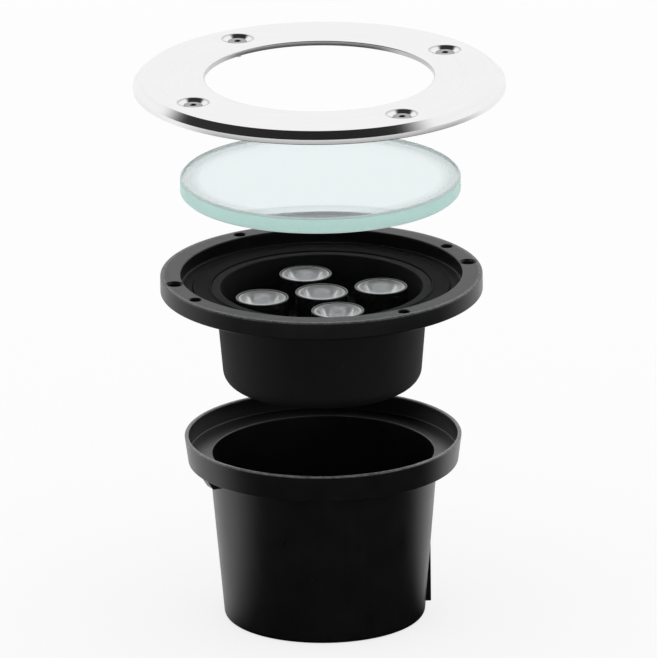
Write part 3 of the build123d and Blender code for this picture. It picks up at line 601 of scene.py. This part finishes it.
def select_ring(piece, centre, corner):
    """Selects the edges of the ring at a corner of a turned piece's outline."""
    mesh = bmesh.from_edit_mesh(piece.data)
    bpy.ops.mesh.select_all(action="DESELECT")
    near = 0.01 * MM

    def there(vertex):
        reach = math.hypot(vertex.co.x - centre[0], vertex.co.y - centre[1])
        return abs(reach - corner[0]) < near and abs(vertex.co.z - corner[1]) < near

    for edge in mesh.edges:
        if all(there(vertex) for vertex in edge.verts):
            edge.select_set(True)
    bmesh.update_edit_mesh(piece.data)


def turns(number, azimuth):
    """Directions spread evenly round the axis."""
    return [azimuth + math.tau / number * turn for turn in range(number)]


def around(number, azimuth, radius):
    """Places spread evenly on a circle, as (x, y)."""
    return [(radius * math.cos(turn), radius * math.sin(turn)) for turn in turns(number, azimuth)]


def screw_places(ring):
    """Places of the ring screws, as (x, y)."""
    return around(ring.screw_count, ring.screw_azimuth, ring.screw_circle / 2)


def apply_modifier(piece, kind, **settings):
    """Adds a modifier and applies it."""
    choose(piece)
    modifier = piece.modifiers.new(kind.lower(), kind)
    for name, setting in settings.items():
        setattr(modifier, name, setting)
    bpy.ops.object.modifier_apply(modifier=modifier.name)


def combine(piece, tools, operation):
    """Cuts tools out of a piece, or joins them to it, and deletes them."""
    for tool in tools:
        apply_modifier(piece, "BOOLEAN", operation=operation, object=tool, solver="EXACT")
        bpy.data.meshes.remove(tool.data)
    return piece


def cut(piece, tools):
    return combine(piece, tools, "DIFFERENCE")


def weld(piece, tools):
    return combine(piece, tools, "UNION")


def copied(piece, name, place):
    """A copy with its own mesh, moved by (x, y)."""
    choose(piece)
    bpy.ops.object.duplicate(linked=False)
    copy = bpy.context.object
    copy.name = copy.data.name = name
    bpy.ops.transform.translate(value=(*place, 0))
    bpy.ops.object.transform_apply(location=True, rotation=False, scale=False)
    return copy


def fin(name, width, azimuth, outline):
    """A flat rib in a plane through the axis, from an outline of (radius, height) points."""
    bpy.ops.object.select_all(action="DESELECT")
    bpy.ops.mesh.primitive_circle_add(vertices=len(outline), radius=10 * MM, fill_type="NGON")
    piece = bpy.context.object
    piece.name = piece.data.name = name
    along = Vector((math.cos(azimuth), math.sin(azimuth), 0))
    across = Vector((-along.y, along.x, 0))
    with editing(piece, "FACE") as mesh:
        mesh.verts.ensure_lookup_table()
        for vertex, (radius, height) in zip(mesh.verts, outline):
            vertex.co = along * radius - across * width / 2 + Vector((0, 0, height))
        bmesh.update_edit_mesh(piece.data)
        bpy.ops.mesh.select_all(action="SELECT")
        bpy.ops.mesh.extrude_region_move(TRANSFORM_OT_translate={"value": tuple(across * width)})
        bpy.ops.mesh.select_all(action="SELECT")
        bpy.ops.mesh.normals_make_consistent(inside=False)
    return piece


def prism(name, across_flats, low, high, centre=(0.0, 0.0), sides=6):
    """An upright bar with flat sides."""
    bpy.ops.object.select_all(action="DESELECT")
    radius = across_flats / 2 / math.cos(math.pi / sides)
    bpy.ops.mesh.primitive_cylinder_add(
        vertices=sides, radius=radius, depth=high - low, location=(*centre, (low + high) / 2))
    piece = bpy.context.object
    piece.name = piece.data.name = name
    bpy.ops.object.transform_apply(location=True, rotation=False, scale=False)
    return piece


def smooth(piece, limit=SMOOTH_ANGLE):
    """Smooth shading that keeps flat faces flat and real corners sharp."""
    choose(piece)
    bpy.ops.object.shade_smooth_by_angle(angle=limit)
    apply_modifier(piece, "WEIGHTED_NORMAL", keep_sharp=True)
    return piece


def dress(piece, slot, body, *nodes):
    """Gives a finished piece its finish, its body and the nodes that it stands for."""
    piece.data.materials.clear()
    piece.data.materials.append(bpy.data.materials[slot])
    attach(piece, body)
    if nodes:
        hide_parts(*nodes)
    return piece


# ---------------------------------------------------------------- operators

class WELL_OT_finishes(bpy.types.Operator):
    """Makes every finish, and gives each piece of the frame its own"""
    bl_idname = "well.finishes"
    bl_label = "Finishes"

    def execute(self, context):
        glass_low, glass_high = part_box("glass_lens")
        flange_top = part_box("housing")[1]
        sleeve_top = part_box("mounting_sleeve")[1]
        turned_steel("ring_steel", (0.92, 0.92, 0.92), 0.1, 0.3, context.scene.well_ring)
        # the screws' steel is a darker copy of the ring's steel: painted shade for the dark middles of
        # the dishes
        turned_steel("screw_steel", (0.42, 0.42, 0.42), 0.25, 0.85)
        black_coat("housing_coat", (0.002, 0.002, 0.0021), 0.3, 2600.0, 0.27, flange_top, glass_high.x)
        # the sleeve's paler rim band is made strong here: a painted highlight along its top lip
        black_coat("sleeve_plastic", (0.002, 0.002, 0.0021), 0.3, 3400.0, 0.6, sleeve_top, wear_and_highlight=0.95)
        black_coat("gland_plastic", (0.008, 0.008, 0.008), 0.4, 2600.0)
        black_coat("holder_plastic", (0.004, 0.004, 0.004), 0.2, 3000.0)
        toughened_glass(glass_high.x, glass_low.z, glass_high.z)
        lens_clear(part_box("lens_holder_centre")[1].z - context.scene.well_module.sunk)
        reflector_silver()
        board_mask("board_black", (0.006, 0.006, 0.007), 0.5)
        board_mask("board_green", (0.01, 0.09, 0.03), 0.8)
        plain("gasket_rubber", (0.006, 0.006, 0.006), 0.7, 1800, specular=0.12)
        plain("pad_grey", (0.42, 0.43, 0.44), 0.8, 1200)
        plain("plate_aluminium", (0.72, 0.73, 0.74), 0.35, 900, metallic=1.0)
        plain("emitter_yellow", (0.85, 0.62, 0.12), 0.35, 1500)
        plain("small_screw_steel", (0.62, 0.62, 0.6), 0.28, 1500, metallic=1.0)
        plain("choke_ferrite", (0.30, 0.11, 0.04), 0.35, 1400)
        plain("capacitor_sleeve", (0.02, 0.03, 0.09), 0.3, 900)
        plain("terminal_plastic", (0.03, 0.2, 0.06), 0.45, 1200)
        plain("lead_insulation", (0.5, 0.02, 0.015), 0.4, 1400)
        for part in frame["record"]["subparts"]:
            node = frame["nodes"][part["node"]]
            node.data.materials.clear()
            node.data.materials.append(bpy.data.materials[part["material_slot"]])
        return {"FINISHED"}


class WELL_OT_trim_ring(bpy.types.Operator):
    """Turns the trim ring and presses its dishes"""
    bl_idname = "well.trim_ring"
    bl_label = "Trim ring"

    def execute(self, context):
        sizes = context.scene.well_ring
        low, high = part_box("trim_ring")
        edge, opening = high.x, sizes.opening / 2
        under = high.z - sizes.plate
        root_round, back_round, flare = 1.0 * MM, 0.5 * MM, 0.8 * MM
        ring = turned("ring", [
            (opening, under, sizes.edge_round), (edge - sizes.rim_wall, under, root_round),
            (edge - sizes.rim_wall, low.z), (edge, low.z, sizes.edge_round),
            (edge, high.z - sizes.bevel_drop, sizes.edge_round),
            (edge - sizes.bevel_width, high.z, sizes.edge_round), (opening, high.z, sizes.edge_round)])
        places = screw_places(sizes)
        dish, drop = sizes.dish / 2, sizes.dimple_drop
        hole = sizes.shank / 2 + sizes.clearance
        seat = sizes.head / 2 + sizes.clearance
        dish_floor = high.z - sizes.dish_depth
        slope = math.atan2(sizes.dish_depth, dish - seat)
        lean = 90 + math.degrees(slope)
        rim = arc(dish + flare * math.sin(slope) / 2, high.z - flare, flare, lean, 90, 5)
        middle, back = high.z - sizes.plate / 2, dish + sizes.dimple_wall
        dimples = [small("dimple", [
            (0, under - drop), (dish - drop, under - drop, back_round), (back, under), (back, middle),
            (0, middle)], place) for place in places]
        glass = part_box("glass_lens")[1].x + sizes.clearance
        way_low, way_high = under - 2 * drop, under + SMALL_ROUND
        for dimple in dimples:
            cut(dimple, [turned("glass_way", [
                (0, way_low), (glass, way_low), (glass, way_high), (0, way_high)])])
        weld(ring, dimples)
        cut(ring, [small("sink", [
            (0, way_low), (hole, way_low), (hole, dish_floor - (seat - hole)), (seat, dish_floor), *rim,
            (rim[-1][0], high.z + CUT_PAST), (0, high.z + CUT_PAST)], place) for place in places])
        dress(smooth(ring), "ring_steel", "ring", "trim_ring")
        return {"FINISHED"}


class WELL_OT_ring_screws(bpy.types.Operator):
    """Turns the four countersunk socket screws"""
    bl_idname = "well.ring_screws"
    bl_label = "Ring screws"

    def execute(self, context):
        sizes = context.scene.well_ring
        low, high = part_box("ring_screws")
        head, shank = sizes.head / 2, sizes.shank / 2
        top, foot = high.z, low.z
        cone_top = top - sizes.head_rim
        neck = cone_top - head + shank
        pitch, point = sizes.thread_pitch, 2 * sizes.thread_depth
        start = foot + point
        thread = [(0, foot), (shank - point, foot), (shank, start)]
        for ridge in range(int((neck - start) / pitch)):
            level = start + ridge * pitch
            thread += [(shank - sizes.thread_depth, level + pitch / 2), (shank, level + pitch)]
        first = small("screw_pattern", [
            *thread, (shank, neck), (head, cone_top), (head, top, FINE_ROUND), (0, top)])
        bottom = top - sizes.socket_depth
        socket = prism("socket", sizes.socket, bottom, top + CUT_PAST)
        corner = sizes.socket / 2 * 1.16                   # of the socket, from its middle
        lead, flare = top - 0.25 * MM, corner + 0.2 * MM   # chamfer where the key goes in
        lead_in = small("lead_in", [
            (0, lead), (corner - FINE_ROUND, lead), (flare, top + 0.1 * MM), (flare, top + CUT_PAST),
            (0, top + CUT_PAST)])
        drill_tip, rest = bottom - 0.45 * MM, 0.1 * MM     # drilled hollow under the socket
        tip = small("tip", [
            (0, drill_tip), (rest, drill_tip), (sizes.socket / 2 - rest, bottom), (0, bottom)])
        cut(first, [socket, lead_in, tip])
        smooth(first)
        screws = [copied(first, f"ring_screw_{number + 1}", place)
                  for number, place in enumerate(screw_places(sizes))]
        bpy.data.meshes.remove(first.data)
        for screw in screws:
            dress(screw, "screw_steel", "screws")
        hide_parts("ring_screws")
        return {"FINISHED"}


class WELL_OT_glass(bpy.types.Operator):
    """Turns the glass with its ground edges, and the gasket under it"""
    bl_idname = "well.glass"
    bl_label = "Glass and gasket"

    def execute(self, context):
        sizes = context.scene.well_glass
        low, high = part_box("glass_lens")
        edge, chamfer = high.x, sizes.chamfer
        glass = turned("glass", [
            (0, low.z), (edge - chamfer, low.z, sizes.arris), (edge, low.z + chamfer, sizes.arris),
            (edge, high.z - chamfer, sizes.arris), (edge - chamfer, high.z, sizes.arris), (0, high.z)])
        dress(smooth(glass, GLASS_SMOOTH_ANGLE), "toughened_glass", "glass", "glass_lens")
        low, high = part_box("seat_gasket")
        outer, inner = high.x, high.x - sizes.gasket_width
        lip, dip = sizes.gasket_lip, sizes.gasket_dip
        edge_round, dip_round = 0.4 * MM, 0.2 * MM
        gasket = turned("gasket", [
            (inner, low.z), (outer, low.z), (outer, high.z, edge_round),
            (outer - lip, high.z, SMALL_ROUND), (outer - lip - dip, high.z - dip, dip_round),
            (inner + lip + dip, high.z - dip, dip_round), (inner + lip, high.z, SMALL_ROUND),
            (inner, high.z, edge_round)])
        dress(smooth(gasket), "gasket_rubber", "lamp", "seat_gasket")
        return {"FINISHED"}


class WELL_OT_housing(bpy.types.Operator):
    """Casts the housing with its flange, recess, bosses and holes"""
    bl_idname = "well.housing"
    bl_label = "Housing"

    def execute(self, context):
        scene = context.scene
        sizes, ring, glass = scene.well_housing, scene.well_ring, scene.well_glass
        low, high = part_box("housing")
        top, foot = high.z, low.z
        slope = math.tan(sizes.draft)
        under = top - sizes.flange
        step_foot = under - sizes.step_depth
        recess_floor = top - sizes.recess
        floor = foot + sizes.floor
        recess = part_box("glass_lens")[1].x + sizes.recess_gap
        groove_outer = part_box("seat_gasket")[1].x + sizes.groove_gap
        groove_inner = groove_outer - glass.gasket_width - 2 * sizes.groove_gap
        groove_floor = recess_floor - sizes.groove

        def wall(level):
            return sizes.body / 2 + (level - under) * slope

        housing = turned("housing_casting", [
            (0, foot), (wall(foot), foot, sizes.foot_round),
            (wall(step_foot), step_foot, sizes.step_round),
            (sizes.step_radius, step_foot, sizes.step_round), (sizes.step_radius, under, SMALL_ROUND),
            (high.x, under, sizes.flange_round), (high.x, top, sizes.flange_round),
            (recess, top, sizes.edge_round),
            (recess, recess_floor, SMALL_ROUND), (groove_outer, recess_floor, FINE_ROUND),
            (groove_outer, groove_floor), (groove_inner, groove_floor),
            (groove_inner, recess_floor, FINE_ROUND),
            (wall(recess_floor) - sizes.wall, recess_floor, sizes.edge_round),
            (wall(floor) - sizes.wall, floor, sizes.foot_round - sizes.wall), (0, floor)])
        weld(housing, self.inside(sizes, floor, wall))

        def sunk_hole(name, hole, sink, place):
            """Cutter of a hole through the flange with a countersink at its top."""
            return small(name, [
                (0, under - CUT_PAST), (hole, under - CUT_PAST), (hole, top - (sink - hole)),
                (sink + CUT_PAST, top + CUT_PAST), (0, top + CUT_PAST)], place)

        screw = sizes.screw_hole / 2
        holes = [sunk_hole("hole", screw, screw + sizes.hole_chamfer, place)
                 for place in screw_places(ring)]
        holes += [sunk_hole("fixing", sizes.fixing_hole / 2, sizes.fixing_sink / 2, place)
                  for place in around(2, sizes.fixing_azimuth, ring.screw_circle / 2)]
        cut(housing, holes + self.inside_holes(sizes, foot, floor))
        dress(smooth(housing), "housing_coat", "lamp", "housing")
        return {"FINISHED"}

    def corners(self, sizes):
        """Middles of the standoffs, under the driver board's corners."""
        low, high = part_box("driver_board")
        inset = sizes.standoff_inset
        return [(x, y) for x in (low.x + inset, high.x - inset) for y in (low.y + inset, high.y - inset)]

    def inside(self, sizes, floor, wall):
        """Bosses with their webs, and the standoffs, rising from the floor."""
        root, top = floor - SINK_IN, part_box("heat_plate")[0].z
        circle = sizes.boss_circle / 2
        web = [(circle, root), (wall(floor) - sizes.wall, root), (wall(top) - sizes.wall / 2, top),
               (circle, top)]
        pieces = [fin("web", sizes.web, turn, web)
                  for turn in turns(sizes.boss_count, sizes.boss_azimuth)]
        pieces += [rod("boss", sizes.boss, root, top, place, top_round=SMALL_ROUND)
                   for place in around(sizes.boss_count, sizes.boss_azimuth, circle)]
        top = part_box("driver_board")[0].z
        pieces += [rod("standoff", sizes.standoff, root, top, place, top_round=SMALL_ROUND)
                   for place in self.corners(sizes)]
        return pieces

    def inside_holes(self, sizes, foot, floor):
        """Cutters for the screw holes inside and for the gland's way through the floor."""
        gland = sum(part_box("gland_lock_nut"), Vector()) / 2
        wells = [(place, sizes.boss_hole, floor + sizes.boss_hole_floor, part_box("heat_plate")[0].z)
                 for place in around(sizes.boss_count, sizes.boss_azimuth, sizes.boss_circle / 2)]
        foot_of_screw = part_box("driver_screws")[0].z - sizes.gap
        wells += [(place, sizes.pilot, foot_of_screw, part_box("driver_board")[0].z)
                  for place in self.corners(sizes)]
        wells.append((gland[:2], sizes.gland_hole, foot - CUT_PAST, floor))
        return [rod("well", width, low, high + CUT_PAST, place) for place, width, low, high in wells]


class WELL_OT_sleeve(bpy.types.Operator):
    """Moulds the sleeve with its stepped rim, lugs and key rib"""
    bl_idname = "well.sleeve"
    bl_label = "Sleeve"

    def execute(self, context):
        sizes = context.scene.well_sleeve
        low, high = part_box("mounting_sleeve")
        slope = math.tan(context.scene.well_housing.draft)
        foot, top = low.z, high.z
        skirt_level, ledge = top - sizes.rim_height, top - sizes.recess
        rim, lip = sizes.rim / 2, sizes.rim / 2 - sizes.lip
        skirt = rim - sizes.rim_height * math.tan(sizes.rim_draft)
        opening = sizes.opening / 2
        floor, round_ = foot + sizes.floor, sizes.edge_round

        def wall(level):
            return sizes.foot / 2 + (level - foot) * slope

        sleeve = turned("sleeve", [
            (opening, foot, SMALL_ROUND), (wall(foot), foot, sizes.foot_round),
            (wall(skirt_level), skirt_level, round_), (skirt, skirt_level, round_), (rim, top, round_),
            (lip, top, round_), (lip, ledge, round_), (wall(ledge) - sizes.wall, ledge, round_),
            (wall(floor) - sizes.wall, floor, sizes.floor_round), (opening, floor, SMALL_ROUND)])
        lug_foot = skirt_level - sizes.lug_drop
        lugs = [fin("lug", sizes.lug_width, turn, [
            (wall(lug_foot) - sizes.wall / 2, lug_foot), (sizes.lug_reach - sizes.lug_slant, lug_foot),
            (sizes.lug_reach, skirt_level), (sizes.lug_reach, skirt_level + sizes.lug_root),
            (wall(skirt_level) - sizes.wall / 2, skirt_level + sizes.lug_root)])
            for turn in turns(2, sizes.lug_azimuth)]
        key_top = foot + (sizes.key_reach + sizes.wall / 2 - wall(foot)) / slope
        key = fin("key", sizes.key_width, sizes.key_azimuth, [
            (wall(sizes.key_foot) - sizes.wall / 2, sizes.key_foot), (sizes.key_reach, sizes.key_foot),
            (sizes.key_reach, key_top)])
        for rib in [*lugs, key]:
            apply_modifier(rib, "BEVEL", width=SMALL_ROUND, segments=3)
        weld(sleeve, [*lugs, key])
        dress(smooth(sleeve), "sleeve_plastic", "sleeve", "mounting_sleeve")
        return {"FINISHED"}


class WELL_OT_lenses(bpy.types.Operator):
    """Makes the five lens holders, the reflectors and the lenses in them"""
    bl_idname = "well.lenses"
    bl_label = "Lenses"

    def execute(self, context):
        sizes = context.scene.well_module
        low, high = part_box("collimator_centre")
        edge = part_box("lens_holder_centre")[1].z - sizes.sunk
        shelf = edge - sizes.lens_rim
        cone_end = shelf - sizes.wall
        rim, neck = high.x, sizes.lens_neck / 2
        widest = rim - sizes.wall - sizes.reflector_wall - sizes.gap

        def cone(level):
            return neck + (widest - neck) * (level - low.z) / (cone_end - low.z)

        holder = self.holder(sizes, rim, shelf)
        reflector = self.reflector(sizes, cone)
        lens = self.lens(sizes, rim, edge, shelf, cone_end, cone)
        for number, name in enumerate(LENSES):
            place = (sum(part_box(f"collimator_{name}"), Vector()) / 2)[:2]
            cover = copied(holder, f"holder_{name}", place)
            dress(cover, "holder_plastic", "lamp", f"lens_holder_{name}")
            cup = dress(copied(reflector, f"reflector_{name}", place), "reflector_silver", "lamp")
            dress(copied(lens, f"lens_{name}", place), "lens_clear", "lamp", f"collimator_{name}")
            if number == 0:
                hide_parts("lens_reflectors")
        for pattern in (holder, reflector, lens):
            bpy.data.meshes.remove(pattern.data)
        return {"FINISHED"}

    def holder(self, sizes, rim, shelf):
        """Round cup with a thin rim, a shelf for the lens and clips round the rim."""
        low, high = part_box("lens_holder_centre")
        foot, top = low.z, high.z
        bore = sizes.lens_neck / 2 + sizes.gap
        inner, floor = rim + sizes.gap, foot + sizes.base
        outer = inner + sizes.wall
        holder = small("holder_pattern", [
            (bore, foot), (outer, foot, SMALL_ROUND),
            (outer, top, SMALL_ROUND), (inner, top, FINE_ROUND),
            (inner, shelf), (inner - sizes.wall, shelf, 0.1 * MM), (inner - sizes.wall, floor),
            (bore, floor)])
        root, top = outer - sizes.wall / 2, top - sizes.clip_height
        foot = top - sizes.clip_height
        tip = outer + sizes.clip_proud
        clip = [(root, foot), (outer + sizes.clip_proud / 2, foot), (tip, (foot + top) / 2), (tip, top),
                (root, top)]
        clips = [fin("clip", sizes.clip_width, turn, clip)
                 for turn in turns(sizes.clip_count, sizes.clip_azimuth)]
        return smooth(weld(holder, clips))

    def reflector(self, sizes, cone):
        """Silvered cup round the lens's cone."""
        low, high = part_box("lens_reflectors")
        inner_foot, inner_top = cone(low.z) + sizes.gap, cone(high.z) + sizes.gap
        return smooth(small("reflector_pattern", [
            (inner_foot, low.z), (inner_foot + sizes.reflector_wall, low.z),
            (inner_top + sizes.reflector_wall, high.z), (inner_top, high.z)]))

    def lens(self, sizes, rim, edge, shelf, cone_end, cone):
        """Clear cone with a crowned face and a domed pocket over the emitter."""
        foot, top = (corner.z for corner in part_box("collimator_centre"))
        crown = top - edge
        bend = (rim ** 2 + crown ** 2) / (2 * crown)       # radius of the crowned face
        swing = math.degrees(math.asin((rim - sizes.lens_border) / bend))
        face = arc(0, top - bend, bend, 90 - swing, 90 - swing * 0.06, 8)
        pocket, ceiling = sizes.lens_pocket / 2, foot + sizes.pocket_depth
        dome = arc(0, ceiling - pocket / 2, pocket * 0.98, 85, 31, 5)
        lens = small("lens_pattern", [
            (0, dome[0][1]), *dome, (pocket, foot), (cone(foot), foot), (cone(cone_end), cone_end),
            (cone(cone_end), shelf), (rim, shelf), (rim, edge, 0.2 * MM), *face, (0, top)])
        return smooth(lens, LENS_SMOOTH_ANGLE)


class WELL_OT_gland(bpy.types.Operator):
    """Moulds the cable gland's body and its domed nut"""
    bl_idname = "well.gland"
    bl_label = "Cable gland"

    def execute(self, context):
        sizes = context.scene.well_gland
        place = (sum(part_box("gland_body"), Vector()) / 2)[:2]
        dress(smooth(self.body(sizes, place)), "gland_plastic", "lamp", "gland_body")
        dress(smooth(self.nut(sizes, place)), "gland_plastic", "lamp", "gland_nut")
        return {"FINISHED"}

    def body(self, sizes, place):
        """Hexagon with the threaded stub above it and the barrel below, and the cable's way through."""
        low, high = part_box("gland_body")
        bore, thread = sizes.bore / 2, sizes.thread / 2
        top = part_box("gland_ring")[0].z
        root = top - sizes.hexagon_height
        inside = root + OVERLAP
        body = self.hexagon("gland_body_made", sizes.hexagon, root, top, place)
        pitch, depth, lead = sizes.thread_pitch, sizes.thread_depth, 0.5 * MM
        ridges = []
        for ridge in range(int((high.z - top - OVERLAP) / pitch)):
            level = high.z - lead - ridge * pitch
            ridges += [(thread, level), (thread - depth, level - pitch / 2)]
        stub = small("stub", [
            (0, inside), (thread, inside), *reversed(ridges), (thread - lead, high.z),
            (0, high.z)], place)
        barrel = rod("barrel", sizes.barrel, low.z, inside, place, foot_round=SMALL_ROUND)
        weld(body, [stub, barrel])
        pocket, pocket_top = sizes.seal / 2 + sizes.gap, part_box("gland_seal")[1].z
        return cut(body, [small("bore", [
            (0, low.z - CUT_PAST), (pocket, low.z - CUT_PAST), (pocket, pocket_top), (bore, pocket_top),
            (bore, high.z + CUT_PAST), (0, high.z + CUT_PAST)], place)])

    def nut(self, sizes, place):
        """Hexagon nut with a domed end, closed round the cable's way."""
        foot, top = (corner.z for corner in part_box("gland_nut"))
        side, bore = sizes.nut / 2, sizes.bore / 2
        nut = prism("gland_nut_made", sizes.nut, foot - CUT_PAST, top, place)
        combine(nut, [small("dome", [
            (0, foot), (side + sizes.nut_dome, foot, sizes.nut_round), (2 * side, foot + side),
            (2 * side, top + CUT_PAST), (0, top + CUT_PAST)], place)], "INTERSECT")
        lip, way = foot + sizes.nut_lip, sizes.barrel / 2 + sizes.gap
        mouth = 0.6 * MM                                   # chamfer at the cable's way in
        return cut(nut, [small("bore", [
            (0, foot - CUT_PAST), (bore + mouth + CUT_PAST, foot - CUT_PAST), (bore, foot + mouth),
            (bore, lip), (way, lip), (way, top + CUT_PAST), (0, top + CUT_PAST)], place)])

    def hexagon(self, name, flats, low, high, place):
        """A hexagonal bar with its corners turned off at 30 degrees, at both ends."""
        piece = prism(name, flats, low, high, place)
        near, far = flats / 2 * 1.02, flats / 2 * 1.2      # radii that the cutter runs between
        drop = (far - near) * math.tan(math.radians(30))
        return combine(piece, [small("corners", [
            (0, low - drop), (2 * near - far, low - drop), (far, low + drop), (far, high - drop),
            (2 * near - far, high + drop), (0, high + drop)], place)], "INTERSECT")


class WELL_OT_stage(bpy.types.Operator):
    """Sets the camera, the pale floor and the world"""
    bl_idname = "well.stage"
    bl_label = "Stage"

    def execute(self, context):
        settings = context.scene.well_stage
        self.aim_camera(context, settings)
        self.lay_floor(settings)
        self.paint_world(context)
        context.scene.view_settings.view_transform = "Standard"
        return {"FINISHED"}

    def aim_camera(self, context, settings):
        """Long lens at the photograph's height, aimed so that the axis and the foot fall in place."""
        focal_pixels = settings.lens / SENSOR * max(IMAGE_WIDTH, IMAGE_HEIGHT)
        distance = focal_pixels / settings.scale * MM
        rise = settings.scale / MM * math.cos(settings.elevation)
        target = Vector((
            (IMAGE_WIDTH / 2 - settings.axis_x) / settings.scale * MM, 0,
            (settings.foot_y - IMAGE_HEIGHT / 2) / rise))
        back = Vector((0, -math.cos(settings.elevation), math.sin(settings.elevation)))
        bpy.ops.object.camera_add(location=target + back * distance)
        camera = context.object
        camera.name = "camera"
        turn = Quaternion(back, -settings.roll)
        camera.rotation_euler = (turn @ (-back).to_track_quat("-Z", "Y")).to_euler()
        camera.data.lens, camera.data.sensor_width = settings.lens, SENSOR
        camera.data.clip_start, camera.data.clip_end = 0.1, 100
        context.scene.camera = camera

    def lay_floor(self, settings):
        """Pale floor with the object's soft shadow; mirrored in the object it is dark in front."""
        bpy.ops.object.select_all(action="DESELECT")
        bpy.ops.mesh.primitive_plane_add(size=settings.floor_size, location=(0, 0, 0))
        floor = bpy.context.object
        floor.name = "floor"
        finish = Finish("floor_pale")
        path = finish.add("LightPath")
        seen = path.output("Is Camera Ray").high(path.output("Is Transmission Ray"))
        x, y, _ = finish.axes()
        reach = (x * x + y * y + 0.001) ** 0.5
        ahead = ((x.high(0.0) * 0.45 - y) / reach).step(-0.15, 0.55) * (1.0 - reach.step(0.55, 0.9))
        paper = finish.add("BsdfDiffuse", {"Color": (0.95, 0.95, 0.95)})
        card = finish.add("BsdfDiffuse", {"Color": (0.01, 0.01, 0.01)})
        glow = finish.add("Emission", {"Color": (1.0, 1.0, 1.0), "Strength": 1.0})
        lit = finish.add("MixShader", {0: path.output("Is Glossy Ray") * ahead, 1: paper, 2: card})
        finish.add_output(finish.add("MixShader", {0: seen * 0.75, 1: lit, 2: glow}))
        floor.data.materials.append(finish.material)

    def paint_world(self, context):
        """White to the eye; in reflections white behind and low down, darker overhead and in front."""
        world = bpy.data.worlds.new("studio")
        context.scene.world = world
        world.use_nodes = True
        tree = world.node_tree
        tree.nodes.clear()
        direction = add_node(tree, "TexCoord").output("Generated")
        x = add_node(tree, "SeparateXYZ", {0: direction})
        y, z = x.output("Y"), x.output("Z")
        overhead = (z - x * 0.35 - y * 0.5).step(0.45, 0.75)
        front = (y * -1.0).step(-0.2, 0.6)
        level = (0.97 - overhead * 0.94) * (1.0 - front * 0.58)
        path = add_node(tree, "LightPath")
        plain_rays = path.output("Is Camera Ray").high(path.output("Is Diffuse Ray"))
        level = level.high(plain_rays.high(path.output("Is Transmission Ray")))
        shader = add_node(tree, "Background", {
            "Color": add_node(tree, "CombineColor", {0: level, 1: level, 2: level}), "Strength": 1.0})
        out = tree.nodes.new("ShaderNodeOutputWorld")
        tree.links.new(shader.socket, out.inputs["Surface"])


OPERATORS = (
    WELL_OT_stage, WELL_OT_finishes, WELL_OT_trim_ring, WELL_OT_ring_screws, WELL_OT_glass,
    WELL_OT_housing, WELL_OT_sleeve, WELL_OT_lenses, WELL_OT_gland)
SIZES = {
    "well_ring": RingSizes, "well_glass": GlassSizes, "well_housing": HousingSizes,
    "well_sleeve": SleeveSizes, "well_module": ModuleSizes,
    "well_gland": GlandSizes, "well_stage": StageSettings}


class WELL_PT_panel(bpy.types.Panel):
    """Lists the pieces of the well light"""
    bl_idname = "WELL_PT_panel"
    bl_label = "Well light"
    bl_space_type = "VIEW_3D"
    bl_region_type = "UI"
    bl_category = "Well light"

    def draw(self, context):
        for operator in OPERATORS:
            self.layout.operator(operator.bl_idname)


def register():
    for group in (*SIZES.values(), *OPERATORS, WELL_PT_panel):
        bpy.utils.register_class(group)
    for name, group in SIZES.items():
        setattr(bpy.types.Scene, name, bpy.props.PointerProperty(type=group))


def unregister():
    for name in SIZES:
        delattr(bpy.types.Scene, name)
    for group in reversed((*SIZES.values(), *OPERATORS, WELL_PT_panel)):
        bpy.utils.unregister_class(group)


def main():
    """Registers the classes and makes every piece in order."""
    register()
    for operator in OPERATORS:
        family, name = operator.bl_idname.split(".")
        getattr(getattr(bpy.ops, family), name)()


if __name__ == "__main__":
    main()
